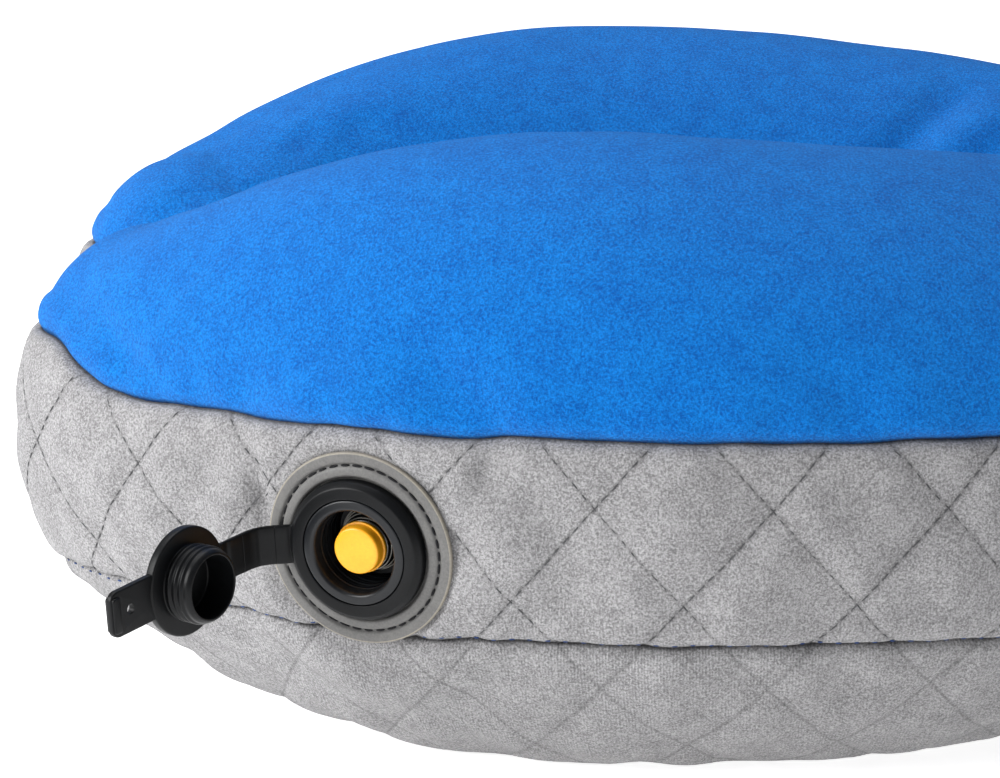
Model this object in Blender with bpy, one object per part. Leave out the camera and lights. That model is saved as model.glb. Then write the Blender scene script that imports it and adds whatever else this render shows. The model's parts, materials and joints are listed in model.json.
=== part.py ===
"""Inflatable U-shaped camp and travel pillow.

A sewn cover of three panels (brushed blue top, quilted grey side band and bottom) holds a welded
two-film air bladder. A push-to-release air valve stands through the side of one arm, and its plug
cap hangs on a flexible tether. Press studs join the two arm tips.

Frame: metres, +Z up, the pillow lies flat on z = 0. The origin is on the resting face, under the
centre of everything's outline, with the closed end towards +X and the arm tips towards -X. The valve
is on the -Y arm. The shape is first worked out from the middle of the closed end, and moved last.
"""

import math

import bmesh
import bpy
from mathutils import Matrix, Vector

for old_object in list(bpy.data.objects):
    bpy.data.objects.remove(old_object, do_unlink=True)

MM = 0.001
GAP = 0.3 * MM  # clearance between pieces that touch on the real pillow

# Plan of the pillow: the arms' middle line is part of an ellipse.
ARM_REACH = 131.0 * MM  # half axis of the middle line along X
ARM_SPREAD = 82.0 * MM  # half axis of the middle line along Y
ARM_SWEEP = math.radians(143.5)  # where each arm's middle line ends, from the closed end

# Cross-section of the inflated tube: half widths and half heights along the arm.
HALF_WIDTH_BACK = 45.0 * MM
HALF_WIDTH_ARM = 49.5 * MM
HALF_WIDTH_TIP = 28.5 * MM
HALF_HEIGHT_BACK = 42.0 * MM
HALF_HEIGHT_ARM = 62.0 * MM
HALF_HEIGHT_TIP = 40.0 * MM
WIDEST_AT = 0.57  # share of the sweep at which the arm is widest
TALLEST_AT = 0.70  # share of the sweep at which the arm is tallest
REST_SINK = 4.0 * MM  # how far the round belly is pressed flat by what it rests on
REST_EDGE_LIMIT = math.radians(80.0)  # steepest angle of the mesh row along the flat patch's edge
MIDDLE_HEIGHT = HALF_HEIGHT_ARM - REST_SINK

# Cover seams, as heights above the resting face.
UPPER_SEAM = 70.7 * MM
LOWER_SEAM = 30.7 * MM

# Layers, from the outside in.
COVER_THICKNESS = 1.5 * MM
WADDING_THICKNESS = 2.2 * MM
FILM_THICKNESS = 0.6 * MM
WADDING_DEPTH = COVER_THICKNESS + GAP
FILM_DEPTH = WADDING_DEPTH + WADDING_THICKNESS + GAP
BLADDER_WELD = UPPER_SEAM - 4.0 * MM  # height of the weld between the two films

# Levels of the shells, from the resting belly up, and the mesh rows above each.
SEAM_GAP = GAP / 2
LEVELS = {
    "belly": None,
    "rest_edge": None,
    "lower_seam": LOWER_SEAM,
    "bladder_weld": BLADDER_WELD,
    "upper_seam": UPPER_SEAM,
    "crown": None,
}
ROWS_ABOVE = {"belly": 1, "rest_edge": 2, "lower_seam": 3, "bladder_weld": 1, "upper_seam": 3}
ARM_STEPS = 11
TIP_STEPS = 7
VALVE_STEPS = 4  # half steps on each side of the valve where the mesh is finer

# Valve: centre on the outer side of the -Y arm.
VALVE_SWEEP = math.radians(-112.0)
VALVE_HEIGHT = 47.7 * MM
FLANGE_RADIUS = 17.8 * MM
BORE_RADIUS = 7.5 * MM
NECK_RADIUS = 9.7 * MM
RIM_HEIGHT = 4.4 * MM
VALVE_FLAT_RADIUS = FLANGE_RADIUS + 4.0 * MM
VALVE_BLEND_RADIUS = VALVE_FLAT_RADIUS + 14.0 * MM
VALVE_SINK = 1.2 * MM  # the flange pulls the cover this much flatter than the free bulge

# Press studs at the arm tips.
STUD_RADIUS = 5.0 * MM
STUD_HEIGHT = UPPER_SEAM - 9.0 * MM
STUD_TURN = math.radians(35.0)  # from facing the other arm straight on, towards the pillow's mouth


def material(name, colour, roughness, metallic=0.0):
    made = bpy.data.materials.new(name)
    made.use_nodes = True
    shader = made.node_tree.nodes["Principled BSDF"]
    shader.inputs["Base Color"].default_value = (*colour, 1.0)
    shader.inputs["Roughness"].default_value = roughness
    shader.inputs["Metallic"].default_value = metallic
    return made


BLUE_PILE = ("brushed_blue", (0.010, 0.195, 0.600), 0.95)
GREY_KNIT = ("grey_knit", (0.37, 0.37, 0.375), 0.95)
WHITE_WADDING = ("white_wadding", (0.80, 0.80, 0.78), 1.0)
CLEAR_FILM = ("tpu_film", (0.55, 0.57, 0.58), 0.35)
GREY_TPU = ("grey_tpu", (0.085, 0.083, 0.078), 0.6)
BLACK_PLASTIC = ("black_plastic", (0.016, 0.017, 0.020), 0.45)
BLACK_RUBBER = ("black_rubber", (0.009, 0.009, 0.011), 0.55)
YELLOW_PLASTIC = ("yellow_plastic", (1.0, 0.45, 0.008), 0.4)
SPRING_STEEL = ("spring_steel", (0.60, 0.58, 0.55), 0.3, 1.0)


def finish(mesh_object, look, parent=None):
    """Give the object its material, smooth shading on its rounds, and its parent."""
    name = look[0]
    made = bpy.data.materials.get(name) or material(*look)
    mesh_object.data.materials.append(made)
    if mesh_object.type == "MESH":
        mesh_object.data.shade_smooth()
        mesh_object.data.set_sharp_from_angle(angle=math.radians(35))
    mesh_object.parent = parent
    return mesh_object


def object_from(name, points, faces):
    """A mesh object whose faces are turned to point outwards."""
    mesh = bpy.data.meshes.new(name)
    mesh.from_pydata([tuple(point) for point in points], [], faces)
    builder = bmesh.new()
    builder.from_mesh(mesh)
    bmesh.ops.recalc_face_normals(builder, faces=builder.faces)
    builder.to_mesh(mesh)
    builder.free()
    made = bpy.data.objects.new(name, mesh)
    bpy.context.scene.collection.objects.link(made)
    return made


# ---------------------------------------------------------------- the pillow's surface


def eased(share):
    """0 to 1 with a flat start and end."""
    share = min(max(share, 0.0), 1.0)
    return 0.5 - 0.5 * math.cos(math.pi * share)


def along_arm(sweep, back, arm, tip, fullest_at):
    """A size at this sweep: from its value at the back, through the full arm, to the tip."""
    share = min(abs(sweep) / ARM_SWEEP, 1.0)
    if share < fullest_at:
        return back + (arm - back) * eased(share / fullest_at)
    return tip + (arm - tip) * math.cos(math.pi / 2 * (share - fullest_at) / (1.0 - fullest_at))


def half_width_at(sweep):
    return along_arm(sweep, HALF_WIDTH_BACK, HALF_WIDTH_ARM, HALF_WIDTH_TIP, WIDEST_AT)


def half_height_at(sweep):
    return along_arm(sweep, HALF_HEIGHT_BACK, HALF_HEIGHT_ARM, HALF_HEIGHT_TIP, TALLEST_AT)


def middle_line(sweep):
    """The point of the arms' middle line at this sweep, and its direction of growing sweep."""
    point = Vector((ARM_REACH * (math.cos(sweep) - 1.0), ARM_SPREAD * math.sin(sweep), 0.0))
    direction = Vector((-ARM_REACH * math.sin(sweep), ARM_SPREAD * math.cos(sweep), 0.0))
    return point, direction.normalized()


def outward_at(sweep, side):
    """The plan outline's outward direction at this sweep: side 1 outside the arms, -1 inside them.

    It leans towards the tip where the arm narrows, so that the outline runs smoothly round the tip.
    """
    small = 0.001
    way = -1.0 if sweep > 0.0 else 1.0
    there = sweep + way * small
    narrowing = way * (half_width_at(there) - half_width_at(sweep))
    direction = middle_line(sweep)[1]
    lean = narrowing / (middle_line(there)[0] - middle_line(sweep)[0]).length
    across = Vector((direction.y, -direction.x, 0.0)) * side
    return (across * math.sqrt(1.0 - lean * lean) - direction * lean).normalized()


def sweeps():
    """Even steps along both arms, with closer ones where the valve sits."""
    even = [ARM_SWEEP * (step / ARM_STEPS) for step in range(-ARM_STEPS, ARM_STEPS + 1)]
    half_step = ARM_SWEEP / ARM_STEPS / 2
    between = [sweep + half_step for sweep in even[:-1]]
    return sorted(even + [sweep for sweep in between if abs(sweep - VALVE_SWEEP) < VALVE_STEPS * half_step])


def perimeter():
    """Stations once round the pillow: (index on the middle line, sweep, outward direction)."""
    line = sweeps()
    outside = [(index, sweep, outward_at(sweep, 1)) for index, sweep in enumerate(line)]
    inside = [(index, sweep, outward_at(sweep, -1)) for index, sweep in enumerate(line)][::-1]

    def round_tip(start, end):
        """Stations that turn round a tip, from one side's outward direction to the other's."""
        index, sweep, before = start
        turn = math.atan2(before.cross(end[2]).z, before.dot(end[2])) % (2 * math.pi)
        return [(index, sweep, Matrix.Rotation(turn * step / TIP_STEPS, 3, "Z") @ before)
                for step in range(1, TIP_STEPS)]

    return outside + round_tip(outside[-1], inside[0]) + inside + round_tip(inside[-1], outside[0])


def section_point(sweep, outward, rise, depth):
    """The surface at this depth under the cover's face. rise is the section's angle, -90 to 90 degrees."""
    centre = middle_line(sweep)[0]
    point = centre + outward * ((half_width_at(sweep) - depth) * math.cos(rise))
    point.z = max(MIDDLE_HEIGHT + (half_height_at(sweep) - depth) * math.sin(rise), depth)
    return point


def rise_at(sweep, height, depth):
    return math.asin(min(max((height - MIDDLE_HEIGHT) / (half_height_at(sweep) - depth), -1.0), 1.0))


def frame_on_surface(sweep, outward, height, sink=0.0):
    """A frame on the cover's face: Z along the outward normal, Y up, X to the right seen from outside."""
    step = 0.5 * MM
    rise = rise_at(sweep, height, 0.0)
    here = section_point(sweep, outward, rise, 0.0)
    above = section_point(sweep, outward, rise_at(sweep, height + step, 0.0), 0.0)
    side_way = Vector((-outward.y, outward.x, 0.0))
    normal = side_way.cross((above - here).normalized()).normalized()
    up = (Vector((0.0, 0.0, 1.0)) - normal * normal.z).normalized()
    right = up.cross(normal)
    turned = Matrix((right, up, normal)).transposed().to_4x4()
    return Matrix.Translation(here - normal * sink) @ turned


VALVE = frame_on_surface(VALVE_SWEEP, outward_at(VALVE_SWEEP, 1), VALVE_HEIGHT, VALVE_SINK)
TO_VALVE = VALVE.inverted()


def flattened(point, depth):
    """Round the valve, each layer is pulled flat against the flange's underside."""
    local = TO_VALVE @ point
    radius = math.hypot(local.x, local.y)
    if radius > VALVE_BLEND_RADIUS or local.z < -VALVE_BLEND_RADIUS:
        return point
    share = 1.0 - eased((radius - VALVE_FLAT_RADIUS) / (VALVE_BLEND_RADIUS - VALVE_FLAT_RADIUS))
    local.z += share * (-depth - local.z)
    return VALVE @ local


def level_rise(sweep, level, depth, nudge=0.0):
    """The section's angle at one of the LEVELS, nudged up or down by a seam's gap."""
    if level == "belly":
        return -math.pi / 2
    if level == "crown":
        return math.pi / 2
    if level == "rest_edge":
        drop = (MIDDLE_HEIGHT - depth) / (half_height_at(sweep) - depth)
        return -math.asin(min(drop, math.sin(REST_EDGE_LIMIT)))
    return rise_at(sweep, LEVELS[level] + nudge, depth)


def row_rises(sweep, first, last, depth):
    """The section's angles at each mesh row between two levels. Every layer shares these rows."""
    names = list(LEVELS)
    passed = names[names.index(first):names.index(last) + 1]
    rises = []
    for low, high in zip(passed, passed[1:]):
        start = level_rise(sweep, low, depth, SEAM_GAP if low == first else 0.0)
        end = level_rise(sweep, high, depth, -SEAM_GAP if high == last else 0.0)
        steps = ROWS_ABOVE[low]
        rises += [start + (end - start) * step / steps for step in range(steps)]
    return rises + [end]


def shell(name, look, first, last, depth, thickness):
    """One sewn or welded shell: a closed wall between two levels, whole over the belly or the crown."""
    stations = perimeter()
    count = len(stations)
    points = []
    layers = []
    for layer in (depth, depth + thickness):
        columns = []
        for _, sweep, outward in stations:
            column = []
            for rise in row_rises(sweep, first, last, layer):
                column.append(len(points))
                points.append(flattened(section_point(sweep, outward, rise, layer), layer))
            columns.append(column)
        rows = [list(row) for row in zip(*columns)]
        for row, is_whole in ((0, first == "belly"), (-1, last == "crown")):
            if is_whole:
                first_of = {}
                for place, (index, _, _) in enumerate(stations):
                    first_of.setdefault(index, rows[row][place])
                rows[row] = [first_of[index] for index, _, _ in stations]
        layers.append(rows)
    faces = []

    def band_between(lower, upper):
        for place in range(count):
            after = (place + 1) % count
            corners = [lower[place], lower[after], upper[after], upper[place]]
            kept = [corner for spot, corner in enumerate(corners) if corner not in corners[:spot]]
            if len(kept) > 2:
                faces.append(kept)

    for rows in layers:
        for lower, upper in zip(rows, rows[1:]):
            band_between(lower, upper)
    if first != "belly":
        band_between(layers[0][0], layers[1][0])
    if last != "crown":
        band_between(layers[0][-1], layers[1][-1])
    used = sorted({corner for face in faces for corner in face})
    renumbered = {corner: place for place, corner in enumerate(used)}
    made = object_from(name, [points[corner] for corner in used],
                       [[renumbered[corner] for corner in face] for face in faces])
    return finish(made, look)


# ---------------------------------------------------------------- turned and cut pieces


def turned(name, look, profile, segments=40, parent=None):
    """A solid turned round the local Z axis from a closed outline of (radius, height)."""
    points = []
    rings = []
    for radius, height in profile:
        if radius == 0.0:
            rings.append([len(points)] * segments)
            points.append(Vector((0.0, 0.0, height)))
            continue
        rings.append([len(points) + step for step in range(segments)])
        for step in range(segments):
            angle = 2 * math.pi * step / segments
            points.append(Vector((radius * math.cos(angle), radius * math.sin(angle), height)))
    faces = []
    for place, ring in enumerate(rings):
        following = rings[(place + 1) % len(rings)]
        for step in range(segments):
            after = (step + 1) % segments
            corners = [ring[step], ring[after], following[after], following[step]]
            kept = [corner for spot, corner in enumerate(corners) if corner not in corners[:spot]]
            if len(kept) > 2:
                faces.append(kept)
    return finish(object_from(name, points, faces), look, parent)


def prism(name, look, outline, low, high, parent=None):
    """A solid pulled along the local Z axis from an outline of (x, y)."""
    count = len(outline)
    points = [Vector((x, y, low)) for x, y in outline] + [Vector((x, y, high)) for x, y in outline]
    faces = [list(range(count)), list(range(count, 2 * count))]
    faces += [[step, (step + 1) % count, (step + 1) % count + count, step + count] for step in range(count)]
    return finish(object_from(name, points, faces), look, parent)


def bar(name, look, stations, half_width, parent=None):
    """A strap of one width along local Y, with the outline of (x, z) corners."""
    points = [Vector((x, side * half_width, z)) for side in (-1, 1) for x, z in stations]
    count = len(stations)
    faces = [list(range(count)), list(range(count, 2 * count))]
    faces += [[step, (step + 1) % count, (step + 1) % count + count, step + count] for step in range(count)]
    return finish(object_from(name, points, faces), look, parent)


def as_cutter(cutter):
    cutter.hide_render = True
    cutter.display_type = "WIRE"
    return cutter


def boolean(target, tool, operation):
    step = target.modifiers.new(operation.lower() + "_" + tool.name, "BOOLEAN")
    step.operation = operation
    step.solver = "EXACT"
    step.object = tool
    as_cutter(tool)
    return target


HOLE_STEPS = 30


def hole(target, name, radius, low, high, parent):
    """Cut a round hole along the parent's Z axis."""
    profile = [(0.0, low), (radius, low), (radius, high), (0.0, high)]
    return boolean(target, turned(name, BLACK_PLASTIC, profile, HOLE_STEPS, parent), "DIFFERENCE")


def empty(name, matrix, parent=None):
    made = bpy.data.objects.new(name, None)
    bpy.context.scene.collection.objects.link(made)
    made.parent = parent
    made.matrix_basis = matrix
    return made


valve = empty("valve_axis", VALVE)


# ---------------------------------------------------------------- cover, wadding and bladder

shell("cover_top_panel", BLUE_PILE, "upper_seam", "crown", 0.0, COVER_THICKNESS)
cover_band = shell("cover_side_band", GREY_KNIT, "lower_seam", "upper_seam", 0.0, COVER_THICKNESS)
shell("cover_bottom_panel", GREY_KNIT, "belly", "lower_seam", 0.0, COVER_THICKNESS)
wadding_band = shell("side_band_wadding", WHITE_WADDING, "lower_seam", "upper_seam",
                     WADDING_DEPTH, WADDING_THICKNESS)
shell("bottom_panel_wadding", WHITE_WADDING, "belly", "lower_seam", WADDING_DEPTH, WADDING_THICKNESS)
shell("bladder_upper_film", CLEAR_FILM, "bladder_weld", "crown", FILM_DEPTH, FILM_THICKNESS)
film_lower = shell("bladder_lower_film", CLEAR_FILM, "belly", "bladder_weld", FILM_DEPTH, FILM_THICKNESS)

NECK_HOLE = NECK_RADIUS + 0.7 * MM
CUT_HIGH = 12.0 * MM
for layer, layer_name in ((cover_band, "cover"), (wadding_band, "wadding"), (film_lower, "film")):
    hole(layer, f"valve_hole_in_{layer_name}", NECK_HOLE, -CUT_HIGH, CUT_HIGH, valve)


# ---------------------------------------------------------------- valve body

FLANGE_LOW = GAP
FLANGE_EDGE = FLANGE_LOW + 1.0 * MM
FLANGE_HIGH = 1.6 * MM
RING_INNER = NECK_RADIUS + 0.3 * MM
RING_RADIUS = 12.6 * MM
RING_LOW = 0.9 * MM
RING_HIGH = 3.0 * MM
STITCH_RADIUS = FLANGE_RADIUS - 2.3 * MM
GROOVE_DEPTH = 0.4 * MM
GROOVE_HALF = 0.5 * MM
CHAMFER = 1.2 * MM
SKIRT = RING_RADIUS + 0.35 * MM


def flange_top(radius):
    """The flange's face falls from beside the tether ring to its thin edge."""
    share = (radius - SKIRT - 0.4 * MM) / (FLANGE_RADIUS - SKIRT - 0.4 * MM)
    return FLANGE_HIGH + (FLANGE_EDGE - FLANGE_HIGH) * share


turned("valve_flange", GREY_TPU, [
    (NECK_RADIUS + 0.5 * MM, FLANGE_LOW),
    (FLANGE_RADIUS - 0.3 * MM, FLANGE_LOW),
    (FLANGE_RADIUS, FLANGE_LOW + 0.3 * MM),
    (FLANGE_RADIUS, FLANGE_EDGE - 0.2 * MM),
    (FLANGE_RADIUS - 0.3 * MM, FLANGE_EDGE),
    (STITCH_RADIUS + GROOVE_HALF, flange_top(STITCH_RADIUS + GROOVE_HALF)),
    (STITCH_RADIUS, flange_top(STITCH_RADIUS) - GROOVE_DEPTH),
    (STITCH_RADIUS - GROOVE_HALF, flange_top(STITCH_RADIUS - GROOVE_HALF)),
    (SKIRT + 0.4 * MM, FLANGE_HIGH),
    (SKIRT, FLANGE_HIGH - 0.3 * MM),
    (SKIRT, RING_LOW - GAP),
    (NECK_RADIUS + 0.5 * MM, RING_LOW - GAP),
], 40, valve)

FILM_INSIDE = -(FILM_DEPTH + FILM_THICKNESS)
BASE_HIGH = FILM_INSIDE - GAP
BASE_LOW = BASE_HIGH - 1.3 * MM
BASE_RADIUS = 13.6 * MM
THROAT_RADIUS = 6.2 * MM
LEDGE = BASE_LOW - 0.6 * MM
BARREL_LOW = LEDGE - 2.0 * MM
BEAD = 0.6 * MM

turned("valve_housing", BLACK_PLASTIC, [
    (BORE_RADIUS + CHAMFER, RIM_HEIGHT),
    (NECK_RADIUS - 0.3 * MM, RIM_HEIGHT),
    (NECK_RADIUS + BEAD, RING_HIGH + 0.8 * MM),
    (NECK_RADIUS + BEAD, RING_HIGH + 0.4 * MM),
    (NECK_RADIUS, RING_HIGH + 0.2 * MM),
    (NECK_RADIUS, BASE_HIGH),
    (BASE_RADIUS, BASE_HIGH),
    (BASE_RADIUS, BASE_LOW),
    (NECK_RADIUS, BASE_LOW),
    (NECK_RADIUS - 0.7 * MM, BARREL_LOW),
    (THROAT_RADIUS, BARREL_LOW),
    (THROAT_RADIUS, LEDGE),
    (BORE_RADIUS, LEDGE),
    (BORE_RADIUS, RIM_HEIGHT - CHAMFER),
], 40, valve)

# The seat insert lies on the ledge: an outer ring, four spokes and a hub that guides the stem.
STEM_RADIUS = 1.7 * MM
SEAT_LOW = LEDGE + GAP
SEAT_HIGH = SEAT_LOW + 1.5 * MM
SEAT_RADIUS = BORE_RADIUS - GAP
HUB_RADIUS = STEM_RADIUS + 1.5 * MM
SPOKE_WIDTH = 1.4 * MM
SEAT_RING = SEAT_RADIUS - 1.1 * MM
seat = turned("valve_seat_insert", BLACK_PLASTIC, [
    (SEAT_RING, SEAT_LOW), (SEAT_RADIUS, SEAT_LOW), (SEAT_RADIUS, SEAT_HIGH), (SEAT_RING, SEAT_HIGH),
], 40, valve)
hub = turned("seat_hub", BLACK_PLASTIC, [
    (0.0, SEAT_LOW), (HUB_RADIUS, SEAT_LOW), (HUB_RADIUS, SEAT_HIGH), (0.0, SEAT_HIGH),
], 24, valve)
boolean(seat, hub, "UNION")
reach = SEAT_RING + 0.5 * MM
for turn in range(2):
    half = SPOKE_WIDTH / 2
    spoke_ends = ((-reach, -half), (reach, -half), (reach, half), (-reach, half))
    outline = [(x, y) if turn == 0 else (-y, x) for x, y in spoke_ends]
    spoke = prism(f"seat_spoke_{turn}", BLACK_PLASTIC, outline,
                  SEAT_LOW + 0.2 * MM, SEAT_HIGH - 0.2 * MM, valve)
    boolean(seat, spoke, "UNION")
hole(seat, "seat_stem_hole", STEM_RADIUS + 0.3 * MM, SEAT_LOW - MM, SEAT_HIGH + MM, valve)

# ---------------------------------------------------------------- release button, seal and spring

BUTTON_RADIUS = 4.65 * MM
BUTTON_TOP = RIM_HEIGHT - 1.4 * MM
BUTTON_LOW = -0.3 * MM
COLLAR_RADIUS = 5.05 * MM
COLLAR_HIGH = BUTTON_LOW + 0.9 * MM
SEAL_HIGH = BARREL_LOW - GAP
SEAL_LOW = SEAL_HIGH - 1.2 * MM
SEAL_RADIUS = THROAT_RADIUS + 1.0 * MM
PLATE_HIGH = SEAL_LOW - GAP
PLATE_LOW = PLATE_HIGH - 0.8 * MM
BARB_HIGH = PLATE_LOW - GAP
BARB_RADIUS = STEM_RADIUS + 0.9 * MM

turned("deflate_button", YELLOW_PLASTIC, [
    (0.0, BUTTON_TOP),
    (BUTTON_RADIUS - 1.6 * MM, BUTTON_TOP - 0.05 * MM),
    (BUTTON_RADIUS - 0.5 * MM, BUTTON_TOP - 0.25 * MM),
    (BUTTON_RADIUS, BUTTON_TOP - 0.75 * MM),
    (BUTTON_RADIUS, COLLAR_HIGH),
    (COLLAR_RADIUS, COLLAR_HIGH),
    (COLLAR_RADIUS, BUTTON_LOW),
    (STEM_RADIUS, BUTTON_LOW),
    (STEM_RADIUS, BARB_HIGH),
    (BARB_RADIUS, BARB_HIGH),
    (STEM_RADIUS - 0.4 * MM, BARB_HIGH - 1.6 * MM),
    (0.0, BARB_HIGH - 1.6 * MM),
], 32, valve)
WASHER_BORE = STEM_RADIUS + 0.3 * MM
turned("seal_disc", BLACK_RUBBER, [
    (WASHER_BORE, SEAL_LOW), (SEAL_RADIUS, SEAL_LOW), (SEAL_RADIUS, SEAL_HIGH), (WASHER_BORE, SEAL_HIGH),
], 32, valve)
turned("seal_backing_plate", BLACK_PLASTIC, [
    (WASHER_BORE, PLATE_LOW), (SEAL_RADIUS - MM, PLATE_LOW),
    (SEAL_RADIUS - MM, PLATE_HIGH), (WASHER_BORE, PLATE_HIGH),
], 32, valve)

WIRE_RADIUS = 0.25 * MM
SPRING_TURNS = 4.5
SPRING_STEPS = 12
SPRING_TOP_RADIUS = COLLAR_RADIUS - 0.4 * MM
SPRING_BASE_RADIUS = SEAT_RADIUS - 0.6 * MM
SPRING_HIGH = BUTTON_LOW - GAP - WIRE_RADIUS
SPRING_LOW = SEAT_HIGH + GAP + WIRE_RADIUS


def conical_spring(name, parent):
    curve = bpy.data.curves.new(name, "CURVE")
    curve.dimensions = "3D"
    curve.bevel_depth = WIRE_RADIUS
    curve.bevel_resolution = 1
    curve.use_fill_caps = True
    count = int(SPRING_TURNS * SPRING_STEPS) + 1
    spline = curve.splines.new("POLY")
    spline.points.add(count - 1)
    for step in range(count):
        share = step / (count - 1)
        # The first and last three quarters of a turn lie flat, as ground spring ends do.
        flat = 0.75 / SPRING_TURNS
        climb = min(max((share - flat) / (1.0 - 2 * flat), 0.0), 1.0)
        radius = SPRING_BASE_RADIUS + (SPRING_TOP_RADIUS - SPRING_BASE_RADIUS) * share
        angle = 2 * math.pi * SPRING_TURNS * share
        height = SPRING_LOW + (SPRING_HIGH - SPRING_LOW) * climb
        spline.points[step].co = (radius * math.cos(angle), radius * math.sin(angle), height, 1.0)
    made = bpy.data.objects.new(name, curve)
    bpy.context.scene.collection.objects.link(made)
    return finish(made, SPRING_STEEL, parent)


conical_spring("return_spring", valve)

# ---------------------------------------------------------------- tether and cap

# The tether leaves the ring towards -X of the valve frame, to the arm's tip. Its joints run along the
# frame's Y axis. Angles are measured from that outward direction, in the plane of it and the normal.
STRAP_HALF_WIDTH = 3.9 * MM
STRAP_THICKNESS = 1.0 * MM
HINGE_WEB = 0.2 * MM  # thickness of the living hinges
HINGE_CUT = 0.5 * MM  # each moulded length ends this far from its hinge line
HINGE_TAPER = 2.0 * MM  # from here on it has its full thickness
FOLD_CUT = 0.7 * MM  # the same two sizes at the middle hinge, which folds almost flat
FOLD_TAPER = 3.0 * MM
INNER_LENGTH = 6.4 * MM
OUTER_LENGTH = 8.8 * MM
ROOT_OUT = RING_RADIUS + 1.0 * MM
ROOT_HIGH = 2.4 * MM
INNER_ANGLE = math.radians(27.0)
OUTER_ANGLE = math.radians(75.0)
CAP_ANGLE = math.radians(78.0)
CAP_RADIUS = 10.4 * MM
CAP_THICKNESS = 1.9 * MM
CAP_LUG = 1.5 * MM  # from the cap's edge to its hinge line


def tether_direction(angle):
    return Vector((-math.cos(angle), 0.0, math.sin(angle)))


def hinge_frame(name, place, angle):
    """An empty on a hinge line: X runs along the next length of the tether, Y is the hinge line."""
    along = tether_direction(angle)
    across = Vector((0.0, 1.0, 0.0))
    turned_to = Matrix((along, across, along.cross(across))).transposed().to_4x4()
    return empty(name, Matrix.Translation(place) @ turned_to, valve)


root_place = Vector((-ROOT_OUT, 0.0, ROOT_HIGH))
middle_place = root_place + tether_direction(INNER_ANGLE) * INNER_LENGTH
cap_place = middle_place + tether_direction(OUTER_ANGLE) * OUTER_LENGTH
root_hinge = hinge_frame("tether_root_hinge", root_place, INNER_ANGLE)
middle_hinge = hinge_frame("tether_middle_hinge", middle_place, OUTER_ANGLE)
cap_hinge = hinge_frame("cap_hinge", cap_place, CAP_ANGLE)

ring = turned("tether_ring", BLACK_RUBBER, [
    (RING_INNER, RING_LOW),
    (RING_RADIUS, RING_LOW),
    (RING_RADIUS, RING_HIGH - 0.8 * MM),
    (RING_RADIUS - 0.8 * MM, RING_HIGH),
    (RING_INNER, RING_HIGH),
], 40, valve)
lug_start = -(RING_RADIUS - 1.2 * MM)
lug_end = -(ROOT_OUT - HINGE_CUT)
lug_half = STRAP_THICKNESS / 2
lug = bar("tether_ring_lug", BLACK_RUBBER, [
    (lug_start, ROOT_HIGH - lug_half), (lug_start, ROOT_HIGH + lug_half),
    (lug_end, ROOT_HIGH + HINGE_WEB / 2), (lug_end, ROOT_HIGH - HINGE_WEB / 2),
], STRAP_HALF_WIDTH, valve)
boolean(ring, lug, "UNION")


def strap_length(name, length, folds_at_start, parent):
    """One length of the tether between two living hinges, thinned towards both."""
    thin = HINGE_WEB / 2
    full = STRAP_THICKNESS / 2
    plain, fold = (HINGE_CUT, HINGE_TAPER), (FOLD_CUT, FOLD_TAPER)
    start, end = (fold, plain) if folds_at_start else (plain, fold)
    upper = [(start[0], thin), (start[1], full), (length - end[1], full), (length - end[0], thin)]
    lower = [(x, -z) for x, z in reversed(upper)]
    return bar(name, BLACK_RUBBER, upper + lower, STRAP_HALF_WIDTH, parent)


strap_length("tether_inner_length", INNER_LENGTH, False, root_hinge)
strap_length("tether_outer_length", OUTER_LENGTH, True, middle_hinge)

# The cap in its own frame: X from its hinge over the disc to the pull tab, Z out of its back.
PLUG_LENGTH = 6.0 * MM
PLUG_RADIUS = BORE_RADIUS - 0.8 * MM  # it swings in, so it needs more play than a plug pushed straight
RIB_RADIUS = BORE_RADIUS - 0.4 * MM
PLUG_BORE = COLLAR_RADIUS + 0.9 * MM
RIB_HALF = 0.45 * MM
RIB_DEPTHS = (1.2 * MM, 2.6 * MM, 4.0 * MM)
NOSE_CHAMFER = 0.5 * MM
CAP_FLOOR = 0.4 * MM
TAB_REACH = 23.0 * MM
TAB_HALF_WIDTH = 4.45 * MM
TAB_THICKNESS = 1.3 * MM
TAB_HOLE = 1.0 * MM

disc_centre = CAP_RADIUS + CAP_LUG
cap_centre = empty("cap_centre", Matrix.Translation((disc_centre, 0.0, 0.0)), cap_hinge)
half_disc = CAP_THICKNESS / 2
plug_outline = []
for rib_depth in RIB_DEPTHS:
    base = -half_disc - rib_depth
    plug_outline += [(PLUG_RADIUS, base + RIB_HALF), (RIB_RADIUS, base + RIB_HALF / 3),
                     (RIB_RADIUS, base - RIB_HALF / 3), (PLUG_RADIUS, base - RIB_HALF)]
nose = -half_disc - PLUG_LENGTH
cap = turned("valve_cap", BLACK_RUBBER, [
    (0.0, half_disc - 0.3 * MM),
    (CAP_RADIUS - 2.6 * MM, half_disc - 0.3 * MM),
    (CAP_RADIUS - 2.2 * MM, half_disc),
    (CAP_RADIUS - 0.5 * MM, half_disc),
    (CAP_RADIUS, half_disc - 0.5 * MM),
    (CAP_RADIUS, -half_disc + 0.3 * MM),
    (CAP_RADIUS - 0.3 * MM, -half_disc),
    (PLUG_RADIUS, -half_disc),
    *plug_outline,
    (PLUG_RADIUS, nose + NOSE_CHAMFER),
    (PLUG_RADIUS - NOSE_CHAMFER, nose),
    (PLUG_BORE, nose),
    (PLUG_BORE, -half_disc + CAP_FLOOR),
    (0.0, -half_disc + CAP_FLOOR),
], 36, cap_centre)
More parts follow.
